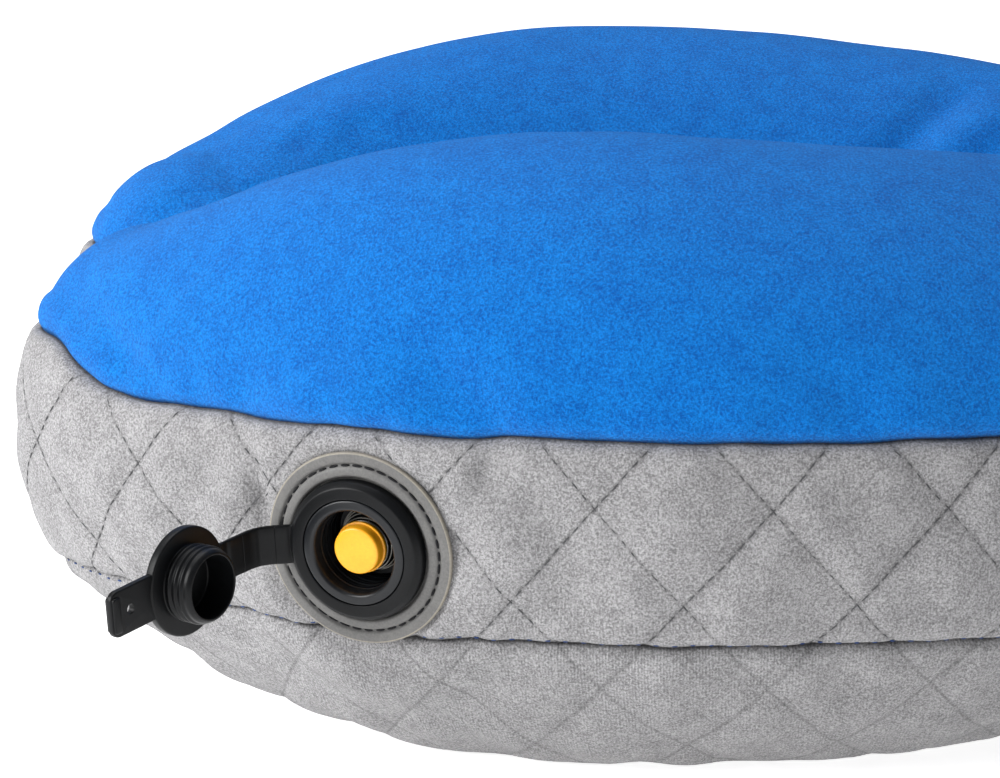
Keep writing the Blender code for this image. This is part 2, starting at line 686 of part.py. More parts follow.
cap_lug = bar("cap_lug", BLACK_RUBBER, [
    (-disc_centre + HINGE_CUT, HINGE_WEB / 2), (-CAP_RADIUS + 0.6 * MM, lug_half),
    (-CAP_RADIUS + 1.6 * MM, lug_half), (-CAP_RADIUS + 1.6 * MM, -lug_half),
    (-CAP_RADIUS + 0.6 * MM, -lug_half), (-disc_centre + HINGE_CUT, -HINGE_WEB / 2),
], STRAP_HALF_WIDTH, cap_centre)
boolean(cap, cap_lug, "UNION")
corner_steps = 6
corner = 2.0 * MM
tab_outline = [(CAP_RADIUS - 2.4 * MM, -TAB_HALF_WIDTH)]
for side in (-1, 1):
    for step in range(corner_steps + 1):
        angle = math.pi / 2 * step / corner_steps
        if side < 0:
            spot = (TAB_REACH - corner + corner * math.sin(angle), -TAB_HALF_WIDTH + corner - corner * math.cos(angle))
        else:
            spot = (TAB_REACH - corner + corner * math.cos(angle), TAB_HALF_WIDTH - corner + corner * math.sin(angle))
        tab_outline.append(spot)
tab_outline.append((CAP_RADIUS - 2.4 * MM, TAB_HALF_WIDTH))
tab = prism("cap_tab", BLACK_RUBBER, tab_outline, -TAB_THICKNESS / 2, TAB_THICKNESS / 2, cap_centre)
boolean(cap, tab, "UNION")
rib_near = TAB_REACH - 2.0 * MM
tab_rib = bar("cap_tab_rib", BLACK_RUBBER, [
    (rib_near, -1.1 * MM), (rib_near, 1.1 * MM), (TAB_REACH - 0.4 * MM, 1.1 * MM), (TAB_REACH - 0.4 * MM, -1.1 * MM),
], TAB_HALF_WIDTH - 1.2 * MM, cap_centre)
boolean(cap, tab_rib, "UNION")
tab_hole_place = empty("cap_tab_hole_place", Matrix.Translation((rib_near - 3.2 * MM, 0.0, 0.0)), cap_centre)
hole(cap, "cap_tab_hole", TAB_HOLE, -2 * MM, 2 * MM, tab_hole_place)

# ---------------------------------------------------------------- press studs

WASHER_RADIUS = STUD_RADIUS - 0.4 * MM
SHANK_RADIUS = 1.6 * MM
STUD_BASE = 0.6 * MM
STUD_FACE = STUD_BASE + 1.2 * MM
WASHER_HIGH = -(COVER_THICKNESS + 1.4 * MM)
WASHER_LOW = WASHER_HIGH - 0.9 * MM
SHANK_END = WASHER_LOW + 0.2 * MM


def press_stud(side, label, front):
    """One half of the press stud, on the inner side of the arm tip, and its washer behind the cover."""
    across = Vector((-math.sin(STUD_TURN), -side * math.cos(STUD_TURN), 0.0))
    tip_ways = [outward for _, sweep, outward in perimeter() if sweep == side * ARM_SWEEP]
    nearest = max(tip_ways, key=across.dot)
    place = empty(f"{label}_axis", frame_on_surface(side * ARM_SWEEP, nearest, STUD_HEIGHT))
    hole(cover_band, f"{label}_hole_in_cover", SHANK_RADIUS + 0.4 * MM, -CUT_HIGH, CUT_HIGH, place)
    hole(wadding_band, f"{label}_hole_in_wadding", STUD_RADIUS + 0.6 * MM, -CUT_HIGH, CUT_HIGH, place)
    turned(label, BLACK_PLASTIC, [
        *front,
        (STUD_RADIUS - 0.5 * MM, STUD_FACE),
        (STUD_RADIUS, STUD_FACE - 0.5 * MM),
        (STUD_RADIUS, STUD_BASE),
        (SHANK_RADIUS, STUD_BASE),
        (SHANK_RADIUS, SHANK_END),
        (0.0, SHANK_END),
    ], 24, place)
    turned(f"{label}_washer", BLACK_PLASTIC, [
        (SHANK_RADIUS + GAP, WASHER_LOW), (WASHER_RADIUS, WASHER_LOW),
        (WASHER_RADIUS, WASHER_HIGH), (SHANK_RADIUS + GAP, WASHER_HIGH),
    ], 24, place)


BALL_RADIUS = 1.9 * MM
SOCKET_DEPTH = 1.0 * MM
press_stud(-1, "snap_socket", [
    (0.0, STUD_FACE - SOCKET_DEPTH), (BALL_RADIUS + GAP, STUD_FACE - SOCKET_DEPTH), (BALL_RADIUS + GAP, STUD_FACE),
])
press_stud(1, "snap_stud", [
    (0.0, STUD_FACE + 1.6 * MM), (BALL_RADIUS - 0.5 * MM, STUD_FACE + 1.6 * MM),
    (BALL_RADIUS, STUD_FACE + 1.0 * MM), (BALL_RADIUS - 0.3 * MM, STUD_FACE),
])

# ---------------------------------------------------------------- origin

# Everything moves together, so that the origin is under the centre of the whole outline.
bpy.context.view_layer.update()
depsgraph = bpy.context.evaluated_depsgraph_get()
outline = []
for made in bpy.context.scene.objects:
    if made.type == "MESH" and not made.hide_render:
        evaluated = made.evaluated_get(depsgraph)
        outline += [made.matrix_world @ vertex.co for vertex in evaluated.data.vertices]
lowest = Vector([min(point[axis] for point in outline) for axis in range(3)])
highest = Vector([max(point[axis] for point in outline) for axis in range(3)])
to_origin = Vector(((lowest.x + highest.x) / 2, (lowest.y + highest.y) / 2, lowest.z))
for made in bpy.context.scene.objects:
    if made.parent is None:
        made.location -= to_origin
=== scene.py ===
"""Looks of the inflatable U-shaped camp pillow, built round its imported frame."""
import json
import math

import bmesh
import bpy
import numpy as np
from mathutils import Matrix, Vector
from mathutils.bvhtree import BVHTree


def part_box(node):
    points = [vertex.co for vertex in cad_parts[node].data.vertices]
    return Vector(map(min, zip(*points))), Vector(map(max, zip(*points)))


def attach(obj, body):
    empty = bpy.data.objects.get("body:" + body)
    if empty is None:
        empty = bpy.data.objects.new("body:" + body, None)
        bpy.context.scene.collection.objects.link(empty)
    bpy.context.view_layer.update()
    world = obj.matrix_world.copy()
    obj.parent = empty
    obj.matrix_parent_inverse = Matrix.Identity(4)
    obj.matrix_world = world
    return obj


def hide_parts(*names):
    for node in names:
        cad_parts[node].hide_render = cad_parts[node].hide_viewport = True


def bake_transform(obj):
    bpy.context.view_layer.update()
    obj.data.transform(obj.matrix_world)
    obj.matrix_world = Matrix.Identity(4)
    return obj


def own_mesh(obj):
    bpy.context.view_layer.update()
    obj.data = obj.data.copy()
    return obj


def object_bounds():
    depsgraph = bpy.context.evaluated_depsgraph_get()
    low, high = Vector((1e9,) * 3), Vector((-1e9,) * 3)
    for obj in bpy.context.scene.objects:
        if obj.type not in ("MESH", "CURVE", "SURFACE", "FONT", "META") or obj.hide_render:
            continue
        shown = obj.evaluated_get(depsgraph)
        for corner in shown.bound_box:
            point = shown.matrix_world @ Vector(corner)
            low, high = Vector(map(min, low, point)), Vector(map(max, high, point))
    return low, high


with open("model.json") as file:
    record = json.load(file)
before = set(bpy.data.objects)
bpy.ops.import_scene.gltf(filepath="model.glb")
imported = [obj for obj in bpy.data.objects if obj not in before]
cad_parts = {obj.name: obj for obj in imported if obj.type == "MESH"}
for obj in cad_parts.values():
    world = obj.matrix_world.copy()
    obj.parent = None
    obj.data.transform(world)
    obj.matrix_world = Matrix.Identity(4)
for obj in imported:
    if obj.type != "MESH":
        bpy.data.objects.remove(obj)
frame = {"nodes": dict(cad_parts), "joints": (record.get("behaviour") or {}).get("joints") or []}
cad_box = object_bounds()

MM = 0.001
scene = bpy.context.scene

# ------------------------------------------------------------------ camera
# A long lens on a 36 mm sensor, low beside the arm that holds the valve and tipped a little down on
# it. The camera and the pillow stay where they are for every pose.

SENSOR_WIDTH = 36.0
FOCAL_LENGTH = 151.4
SEES_TO = 20.0
CAMERA_AT = Vector((-50.8, -870.6, 240.4)) * MM
CAMERA_TURNS = ((0.79, "Z"), (78.0, "X"), (-0.31, "Z"))  # heading, tilt and roll, in degrees


def placed(name, data):
    """A new object in the scene, at the origin."""
    made = bpy.data.objects.new(name, data)
    scene.collection.objects.link(made)
    return made


camera_data = bpy.data.cameras.new("camera")
camera_data.sensor_width = SENSOR_WIDTH
camera_data.lens = FOCAL_LENGTH
camera_data.clip_end = SEES_TO
camera = placed("camera", camera_data)
camera_pose = Matrix.Translation(CAMERA_AT)
for degrees, axis in CAMERA_TURNS:
    camera_pose = camera_pose @ Matrix.Rotation(math.radians(degrees), 4, axis)
camera.matrix_world = camera_pose
scene.camera = camera
scene.view_settings.view_transform = "Standard"

# ------------------------------------------------------------------ floor and light
# A plain matt white table top in a white room. A large soft light stands at the upper left, and a
# weaker and wider one hangs above.


def tone(code):
    """The linear colour of an sRGB hex code such as 'a0b0c0'."""
    shares = [int(code[place:place + 2], 16) / 255 for place in (0, 2, 4)]
    return tuple(s / 12.92 if s <= 0.04045 else ((s + 0.055) / 1.055) ** 2.4 for s in shares) + (1.0,)


def node(tree, kind, links=(), **settings):
    """Add one node. Settings name its properties, or its inputs by name or _number; links give inputs
    an output, or a node's first one."""
    made = tree.nodes.new(kind)
    for name, value in settings.items():
        if hasattr(made, name):
            setattr(made, name, value)
        else:
            key = int(name[1:]) if name[0] == "_" else name.replace("_", " ")
            made.inputs[key].default_value = value
    for key, output in dict(links).items():
        first = output.outputs[0] if isinstance(output, bpy.types.Node) else output
        tree.links.new(first, made.inputs[key])
    return made


# White laminate, pressed matt: no gloss, and bright enough to run into the white of the room.
table_top = bpy.data.materials.new("white_laminate_table")
table_top.use_nodes = True
table_shader = table_top.node_tree.nodes["Principled BSDF"]
for socket, value in {"Base Color": tone("f2f2f2"), "Roughness": 0.8, "Specular IOR Level": 0.1,
                      "Emission Color": tone("ffffff"), "Emission Strength": 0.75}.items():
    table_shader.inputs[socket].default_value = value
FLOOR_HALF = 6.0
FLOOR_GAP = 0.1 * MM
floor_mesh = bpy.data.meshes.new("table")
floor_mesh.from_pydata([(x * FLOOR_HALF, y * FLOOR_HALF, cad_box[0][2] - FLOOR_GAP)
                        for x, y in ((-1, -1), (1, -1), (1, 1), (-1, 1))], [], [(0, 1, 2, 3)])
floor_mesh.materials.append(table_top)
placed("table", floor_mesh)

room = bpy.data.worlds.new("white_room")
room.use_nodes = True
room_tree = room.node_tree
room_tree.nodes.clear()
seen = node(room_tree, "ShaderNodeLightPath")
bright = node(room_tree, "ShaderNodeBackground", Color=tone("ffffff"), Strength=1.0)
soft = node(room_tree, "ShaderNodeBackground", Color=tone("f6f8ff"), Strength=0.22)
walls = node(room_tree, "ShaderNodeMixShader",
             {0: seen.outputs["Is Camera Ray"], 1: soft, 2: bright})
node(room_tree, "ShaderNodeOutputWorld", {"Surface": walls})
scene.world = room


def soft_box(name, place, aim, side, power):
    """A square soft light of this side in metres and power in watts, turned to its aim."""
    light = bpy.data.lights.new(name, "AREA")
    light.size = side
    light.energy = power
    made = placed(name, light)
    made.location = place
    made.rotation_euler = (Vector(aim) - Vector(place)).to_track_quat("-Z", "Y").to_euler()


soft_box("soft_box_left", (-1.0, -0.5, 0.55), (-0.05, 0.0, 0.05), 0.6, 17.0)
soft_box("soft_box_above", (-0.2, 0.25, 1.5), (0.0, 0.0, 0.0), 1.2, 16.0)

# ------------------------------------------------------------------ the inflated cover
# Three panels of cloth sewn round a bladder blown up tight: an oval tube bent to a U, pressed flat
# where it lies on the table. The whole skin is blown up once by simulation, then cut at its seams.

ARM_REACH = 131.0 * MM
ARM_SPREAD = 82.0 * MM
ARM_SWEEP = math.radians(143.5)
HALF_WIDTHS = (45.0 * MM, 49.5 * MM, 28.5 * MM, 0.57)  # back, arm, tip, and where the arm is fullest
HALF_HEIGHTS = (42.0 * MM, 62.0 * MM, 40.0 * MM, 0.70)
MIDDLE_HEIGHT = 58.0 * MM
LOWER_SEAM = 30.7 * MM
UPPER_SEAM = 70.7 * MM
TIP_FROM = math.radians(133.0)
TIP_SEAM_RISE = 8.0 * MM  # the top panel is cut narrower round the arm ends
ARM_STEPS = 62
TIP_STEPS = 14
PANEL_ROWS = (11, 10, 17)  # mesh rows of the bottom panel, the side band and, to the crown, the top
FLANGE_RADIUS = 19.0 * MM
FLAT_RADIUS = FLANGE_RADIUS + 4.0 * MM
BLEND_RADIUS = FLAT_RADIUS + 14.0 * MM

joints = {joint["name"]: joint for joint in frame["joints"]}
VALVE_Z = -Vector(joints["button_push"]["axis"]).normalized()
VALVE_Y = Vector(joints["tether_root"]["axis"]).normalized()
VALVE_X = VALVE_Y.cross(VALVE_Z).normalized()
ROOT_OUT = 13.6 * MM
ROOT_HIGH = 2.4 * MM
VALVE_AT = Vector(joints["tether_root"]["pos_m"]) + VALVE_X * ROOT_OUT - VALVE_Z * ROOT_HIGH
VALVE_AXES = np.array([VALVE_X, VALVE_Y, VALVE_Z])
washers = [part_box(name) for name in ("snap_socket_washer", "snap_stud_washer")]
BACK_AT = np.array([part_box("cover_side_band")[1].x - HALF_WIDTHS[0],
                    sum(low.y + high.y for low, high in washers) / 4, cad_box[0][2]])


def eased(share):
    """A smooth rise from 0 to 1 as share does."""
    return 0.5 - 0.5 * np.cos(np.pi * np.clip(share, 0.0, 1.0))


def along_arm(sweep, back, arm, tip, fullest_at):
    """A half size of the tube along the arm, from its values at the back, the fullest place and the tip."""
    share = np.clip(np.abs(sweep) / ARM_SWEEP, 0.0, 1.0)
    rise = back + (arm - back) * eased(share / fullest_at)
    past = np.clip((share - fullest_at) / (1.0 - fullest_at), 0.0, 1.0)
    fall = tip + (arm - tip) * np.cos(np.pi / 2 * past)
    return np.where(share < fullest_at, rise, fall)


def middle_line(sweep):
    """(point, direction) on the tube's middle line, in plan."""
    point = np.stack([ARM_REACH * (np.cos(sweep) - 1.0), ARM_SPREAD * np.sin(sweep)], -1)
    way = np.stack([-ARM_REACH * np.sin(sweep), ARM_SPREAD * np.cos(sweep)], -1)
    return point, way / np.linalg.norm(way, axis=-1, keepdims=True)


def outward_at(sweep, side):
    """The outline's outward direction, leaning to the tip where the arm narrows."""
    small = 0.001
    way = np.where(sweep > 0.0, -1.0, 1.0)
    there = sweep + way * small
    narrowing = way * (along_arm(there, *HALF_WIDTHS) - along_arm(sweep, *HALF_WIDTHS))
    point, direction = middle_line(sweep)
    lean = (narrowing / np.linalg.norm(middle_line(there)[0] - point, axis=-1))[:, None]
    across = np.stack([direction[:, 1], -direction[:, 0]], -1) * side
    return across * np.sqrt(1.0 - lean * lean) - direction * lean


# Stations once round the outline: outside, one tip, inside, the other tip.
line = np.linspace(-ARM_SWEEP, ARM_SWEEP, 2 * ARM_STEPS + 1)
outside = outward_at(line, 1)
inside = outward_at(line, -1)


def round_tip(before, after):
    """Outward directions round an arm's tip, between those of its two sides."""
    start, end = (math.atan2(way[1], way[0]) for way in (before, after))
    turn = (end - start) % (2 * math.pi)
    angles = start + turn * np.arange(1, TIP_STEPS) / TIP_STEPS
    return np.stack([np.cos(angles), np.sin(angles)], -1)


line_index = np.arange(len(line))
tip_index = np.full(TIP_STEPS - 1, len(line) - 1)
spot = np.concatenate([line_index, tip_index, line_index[::-1], tip_index * 0])
outward = np.concatenate([outside, round_tip(outside[-1], inside[-1]), inside[::-1],
                          round_tip(inside[0], outside[0])])
sweep = line[spot]
half_width = along_arm(sweep, *HALF_WIDTHS)
half_height = along_arm(sweep, *HALF_HEIGHTS)
at_tip = eased((np.abs(sweep) - TIP_FROM) / (ARM_SWEEP - TIP_FROM))
seam_rises = [np.arcsin((height - MIDDLE_HEIGHT) / half_height)
              for height in (LOWER_SEAM, UPPER_SEAM + TIP_SEAM_RISE * at_tip)]
level_rises = [np.full(len(spot), -np.pi / 2), *seam_rises, np.full(len(spot), np.pi / 2)]
rises = []
for low, high, rows in zip(level_rises, level_rises[1:], PANEL_ROWS):
    rises += [low + (high - low) * row / rows for row in range(rows)]
rises = np.stack([*rises, level_rises[-1]], 1)
LOWER_ROW = PANEL_ROWS[0]
UPPER_ROW = PANEL_ROWS[0] + PANEL_ROWS[1]
LAST_ROW = sum(PANEL_ROWS)

skin = np.empty((len(spot), LAST_ROW + 1, 3))
reach_out = half_width[:, None] * np.cos(rises)
skin[..., :2] = middle_line(sweep)[0][:, None] + outward[:, None] * reach_out[..., None]
skin[..., 2] = np.maximum(MIDDLE_HEIGHT + half_height[:, None] * np.sin(rises), 0.0)
skin += BACK_AT
# Blown up, the free arm ends reach a little further than the flat cover does.
REACH_FROM = -109.0 * MM
REACH_OVER = 45.0 * MM
REACH_MORE = 4.5 * MM
skin[..., 0] -= REACH_MORE * eased((REACH_FROM - skin[..., 0]) / REACH_OVER)
valve_local = (skin - np.array(VALVE_AT)) @ VALVE_AXES.T
valve_radius = np.hypot(valve_local[..., 0], valve_local[..., 1])
near_valve = (valve_radius < BLEND_RADIUS) & (valve_local[..., 2] > -BLEND_RADIUS)
pull = np.where(near_valve, 1.0 - eased((valve_radius - FLAT_RADIUS) / (BLEND_RADIUS - FLAT_RADIUS)), 0.0)
skin -= (pull * valve_local[..., 2])[..., None] * np.array(VALVE_Z)

# Where each point is on the flat cloth: round the outline, and up from the lower seam.
middle_row = (LOWER_ROW + UPPER_ROW) // 2
loop = np.concatenate([skin[:, middle_row], skin[:1, middle_row]])
around = np.concatenate([[0.0], np.cumsum(np.linalg.norm(np.diff(loop, axis=0), axis=1))])
row_steps = np.linalg.norm(np.diff(skin, axis=1), axis=2)
climb = np.concatenate([np.zeros((len(spot), 1)), np.cumsum(row_steps, axis=1)], 1)
climb -= climb[:, LOWER_ROW:LOWER_ROW + 1]
band_height = climb[:, UPPER_ROW]
valve_station = int(np.argmin(np.linalg.norm(skin[:, middle_row] - np.array(VALVE_AT), axis=1)))
around -= around[valve_station]
SEAM_LOOP = around[-1] - around[0]

# Diamond quilting: two families of straight lines on the flat cloth, a whole number of them round it.
QUILT_COUNT = 41
QUILT_WIDE = SEAM_LOOP / QUILT_COUNT
QUILT_HIGH = 38.0 * MM
QUILT_SIDEWAYS = 27.4 * MM
QUILT_UPWARDS = 9.3 * MM
SLOPE = math.hypot(1 / QUILT_WIDE, 1 / QUILT_HIGH)


def quilt_distance(u, v):
    """Distance to the nearest quilting line of either family, on the flat cloth."""
    nearest = []
    for way in (1, -1):
        phase = (u - QUILT_SIDEWAYS) / QUILT_WIDE + way * (v - QUILT_UPWARDS) / QUILT_HIGH
        nearest.append(np.abs(phase - np.round(phase)) / SLOPE)
    return np.minimum(*nearest)


# One closed mesh. The crown and the belly lines are shared by the outside and the inside.
number = np.arange(skin[..., 0].size).reshape(skin.shape[:2])
for row in (0, LAST_ROW):
    first_at = {}
    for station, place in enumerate(spot):
        number[station, row] = first_at.setdefault(place, number[station, row])
used, renumbered = np.unique(number, return_inverse=True)
number = renumbered.reshape(number.shape)
skin_points = skin.reshape(-1, 3)[used]
faces = []
corner_uv = []
corner_seam = []
face_panel = []
for station in range(len(spot)):
    after = (station + 1) % len(spot)
    for row in range(LAST_ROW):
        corners = [(station, row, station), (after, row, station + 1), (after, row + 1, station + 1),
                   (station, row + 1, station)]
        kept = []
        for where, level, turn in corners:
            if number[where, level] not in [number[a, b] for a, b, _ in kept]:
                kept.append((where, level, turn))
        if len(kept) < 3:
            continue
        faces.append([int(number[a, b]) for a, b, _ in kept])
        corner_uv += [(around[turn], climb[a, b]) for a, b, turn in kept]
        corner_seam += [(climb[a, b] - band_height[a], climb[a, b]) for a, b, _ in kept]
        face_panel.append(2 if row < LOWER_ROW else 1 if row < UPPER_ROW else 0)
blown_mesh = bpy.data.meshes.new("blown_skin")
blown_mesh.from_pydata([tuple(point) for point in skin_points], [], faces)
for name, values in (("cloth", corner_uv), ("seams", corner_seam)):
    layer = blown_mesh.uv_layers.new(name=name)
    layer.data.foreach_set("uv", np.array(values, np.float32).ravel())
blown_mesh.polygons.foreach_set("material_index", face_panel)
blown_mesh.shade_smooth()
blown = placed("blown_skin", blown_mesh)

# The seams, the quilting and the flange hold the cloth, and the air pushes out what lies between.
SEAM_HOLD = 4.0 * MM
QUILT_HOLD = 3.0 * MM
QUILT_SHARE = 0.8  # how much of a seam's hold the quilting has
FREE_SHARE = 0.03  # what holds the free cloth
FLANGE_HOLD = 1.0 * MM
ON_TABLE = 0.5 * MM
OFF_TABLE = 2.0 * MM
flat_u = np.repeat(around[:-1, None], LAST_ROW + 1, 1)
from_upper = climb - band_height[:, None]
hold = np.maximum(np.exp(-(climb / SEAM_HOLD) ** 2), np.exp(-(from_upper / SEAM_HOLD) ** 2))
quilted = (from_upper < 0.0) & (skin[..., 2] > OFF_TABLE)
hold = np.maximum(hold, QUILT_SHARE * quilted * np.exp(-(quilt_distance(flat_u, climb) / QUILT_HOLD) ** 2))
hold = np.maximum(hold, valve_radius < FLANGE_RADIUS + FLANGE_HOLD)
hold = np.maximum(hold, skin[..., 2] < ON_TABLE)
hold = np.clip(hold, FREE_SHARE, 1.0).reshape(-1)[used]
held = blown.vertex_groups.new(name="held")
for place, weight in enumerate(hold):
    held.add([place], float(weight), "REPLACE")

MOST_SWELL = 1.6 * MM
TIP_TIGHTER = 0.7  # how much less the arm ends swell
SWELL_STEPS = 18
PRESSURE = {"quality": 5, "mass": 0.25, "tension_stiffness": 12.0, "compression_stiffness": 12.0,
            "shear_stiffness": 6.0, "bending_stiffness": 0.4, "shrink_min": -0.03, "use_pressure": True,
            "uniform_pressure_force": 4.0, "vertex_group_mass": "held", "pin_stiffness": 1.0}
cloth = blown.modifiers.new("air_pressure", "CLOTH")
for setting, value in PRESSURE.items():
    setattr(cloth.settings, setting, value)
cloth.settings.effector_weights.gravity = 0.0
cloth.collision_settings.use_collision = False
for step in range(1, SWELL_STEPS + 1):
    scene.frame_set(step)
evaluated = blown.evaluated_get(bpy.context.evaluated_depsgraph_get())
swollen = np.empty(len(skin_points) * 3)
evaluated.data.vertices.foreach_get("co", swollen)
swell = swollen.reshape(-1, 3) - skin_points
size = np.linalg.norm(swell, axis=1, keepdims=True)
tighter = TIP_TIGHTER * np.repeat(at_tip[:, None], LAST_ROW + 1, 1)
most = (MOST_SWELL * (1.0 - tighter)).reshape(-1, 1)[used]
skin_points = skin_points + swell * np.minimum(1.0, most / np.maximum(size, 1e-9))
blown.modifiers.remove(cloth)
scene.frame_set(1)
blown_mesh.vertices.foreach_set("co", skin_points.ravel())

RIPPLE_WAVES = 12
RIPPLE_TALL = 3.5  # about what that many waves add up to


def ripple(u, wavelength, seed):
    """A smooth random wave of about this wavelength that closes on itself round the outline."""
    chance = np.random.default_rng(seed)
    wave = np.zeros_like(u)
    fewest, most_cycles = (int(share * SEAM_LOOP / wavelength) for share in (0.6, 1.5))
    for cycles in chance.integers(fewest, most_cycles, RIPPLE_WAVES):
        wave += np.sin(2 * np.pi * (cycles * u / SEAM_LOOP + chance.random()))
    return wave / RIPPLE_TALL


def read_all(items, name, width, kind=float):
    """One array row for each item's value of this name."""
    values = np.empty(len(items) * width, kind)
    items.foreach_get(name, values)
    return values.reshape(-1, width)


finer = blown.modifiers.new("finer", "SUBSURF")
finer.levels = 2
finer.uv_smooth = "NONE"
fine = bpy.data.meshes.new_from_object(blown.evaluated_get(bpy.context.evaluated_depsgraph_get()))
swollen_grid = skin_points[number]
points = read_all(fine.vertices, "co", 3)
normals = read_all(fine.vertex_normals, "vector", 3)
quads = read_all(fine.loops, "vertex_index", 1, np.int64)[:, 0]
corner_maps = {layer.name: read_all(layer.data, "uv", 2) for layer in fine.uv_layers}
panel_of = read_all(fine.polygons, "material_index", 1, np.int64)[:, 0]
flat_at = np.empty((len(points), 2))
flat_at[quads] = corner_maps["cloth"]
u, v = flat_at.T
seam_at = np.empty((len(points), 2))
seam_at[quads] = corner_maps["seams"]
quads = quads.reshape(-1, 4)
bpy.data.objects.remove(blown)

# Seams are drawn in to valleys with rolled edges, puckered a little by their thread.
SEAM_DEPTH = 2.0 * MM
SEAM_HALF = 0.8 * MM
ROLL_RISE = 0.25 * MM
ROLL_AT = 4.5 * MM
PUCKER = 0.25 * MM
PUCKER_REACH = 6.0 * MM
PUCKER_LONG = 14.0 * MM
rise = np.zeros(len(points))
for which, seed in ((0, 3), (1, 5)):
    off = np.abs(seam_at[:, which])
    rise -= SEAM_DEPTH * np.exp(-off / SEAM_HALF)
    rise += ROLL_RISE * np.exp(-((off - ROLL_AT) / (0.6 * ROLL_AT)) ** 2)
    rise += PUCKER * np.exp(-off / PUCKER_REACH) * ripple(u, PUCKER_LONG, seed)
# Quilting lines are drawn in less, and least on the bottom panel. The wadding swells between them.
GROOVE_DEPTH = 0.4 * MM
GROOVE_HALF = 1.2 * MM
WADDING_RISE = 0.2 * MM
WADDING_AT = 6.0 * MM
WADDING_HALF = 4.0 * MM
BOTTOM_SHARE = 0.6
grey = (seam_at[:, 0] < 0.0) & (points[:, 2] > 1.0 * MM)
share_here = np.where(seam_at[:, 1] < 0.0, BOTTOM_SHARE, 1.0) * grey
groove = quilt_distance(u, v)
rise -= share_here * GROOVE_DEPTH * np.exp(-(groove / GROOVE_HALF) ** 2)
rise += share_here * WADDING_RISE * np.exp(-((groove - WADDING_AT) / WADDING_HALF) ** 2)
# The cloth puckers beside the welded flange: ridges hug it below, and a valley lies on each side.
RIDGES = ((1.6 * MM, 22.2 * MM, 1.4 * MM, 213.0, 20.0),  # height, radius, half width, angle, spread
          (0.9 * MM, 21.3 * MM, 1.5 * MM, 312.0, 26.0))
VALLEYS = ((2.3 * MM, 0.2, -20.0 * MM, 1.7 * MM, 8.0 * MM, 8.0 * MM),  # depth, lean, then the middle
           (1.4 * MM, -0.3, 20.5 * MM, 2.6 * MM, 14.0 * MM, 9.0 * MM))  # and half size, across and up
beside = (points - np.array(VALVE_AT)) @ VALVE_AXES.T
beside_radius = np.hypot(beside[:, 0], beside[:, 1])
beside_angle = np.degrees(np.arctan2(beside[:, 1], beside[:, 0])) % 360.0
at_valve = (beside_radius < 60 * MM) & (np.abs(beside[:, 2]) < 30 * MM)


def bump(value, middle, half):
    """A smooth hump of height 1 at middle."""
    return np.exp(-((value - middle) / half) ** 2)


for height, radius, half, angle, spread in RIDGES:
    rise += at_valve * height * bump(beside_radius, radius, half) * bump(beside_angle, angle, spread)
for depth, lean, across, half, up, half_up in VALLEYS:
    leaning = beside[:, 0] + lean * beside[:, 1]
    rise -= at_valve * depth * bump(leaning, across, half) * bump(beside[:, 1], up, half_up)
# Where each arm bends, the cloth on the inside is too long and lies in soft folds.
FOLD_DEPTH = 2.6 * MM
FOLD_HALF = 3.8  # half width of a fold, in degrees round the arm's bend
FOLDS = ((30.0, 18.0), (43.0, 10.0), (56.0, 2.0), (-20.0, -15.0), (-36.0, -8.0), (-54.0, 10.0))  # angle, lean
out_from = (points - BACK_AT)[:, :2] / (ARM_REACH, ARM_SPREAD) + (1.0, 0.0)
turn_at = np.degrees(np.arctan2(out_from[:, 1], out_from[:, 0]))
inward = eased((0.98 - np.hypot(*out_from.T)) / 0.22)
above = eased((points[:, 2] - UPPER_SEAM) / (14 * MM))
for fold_turn, lean in FOLDS:
    rise -= FOLD_DEPTH * bump(turn_at, fold_turn + lean * (1.0 - inward), FOLD_HALF) * inward * above
# The air never fills a cover quite evenly.
UNEVEN = 0.3 * MM
UNEVEN_LONG = 80.0 * MM
off_table = eased((points[:, 2] - 4 * MM) / (20 * MM))
rise += UNEVEN * ripple(u, UNEVEN_LONG, 11) * off_table * ~at_valve
under_flange = beside_radius < FLANGE_RADIUS + 0.5 * MM
rise[under_flange & at_valve] = 0.0
points = points + normals * rise[:, None]
points[:, 2] = np.maximum(points[:, 2], cad_box[0][2])
skin_tree = BVHTree.FromPolygons(points.tolist(), quads.tolist())


def on_skin(u, v):
    """(point, normal) on the finished skin, from a place on the flat cloth."""
    turn = np.interp(u, around, np.arange(len(around)))
    share = turn % 1.0
    spots = []
    for station in (int(turn) % len(spot), (int(turn) + 1) % len(spot)):
        row = min(np.interp(v, climb[station], np.arange(LAST_ROW + 1)), LAST_ROW - 1e-6)
        low = int(row)
        lower, upper = swollen_grid[station, low:low + 2]
        spots.append(lower * (1 + low - row) + upper * (row - low))
    place, normal, _, _ = skin_tree.find_nearest(Vector(spots[0] * (1 - share) + spots[1] * share))
    return place, normal


# ------------------------------------------------------------------ three sewn panels
# Top panel of blue pile, side band and bottom panel of quilted grey knit, lockstitched inside out.
# Each is turned in at its seams, so that the seams show as creases between two rolled edges.


def paint_shade(tree, by):
    """Paint shade into the finish: multiply its colour by what the node by gives."""
    colour = tree.nodes["Principled BSDF"].inputs["Base Color"]
    shaded = node(tree, "ShaderNodeMix", {6: colour.links[0].from_socket, 7: by}, data_type="RGBA",
                  blend_type="MULTIPLY", _0=1.0)
    tree.links.new(shaded.outputs[2], colour)


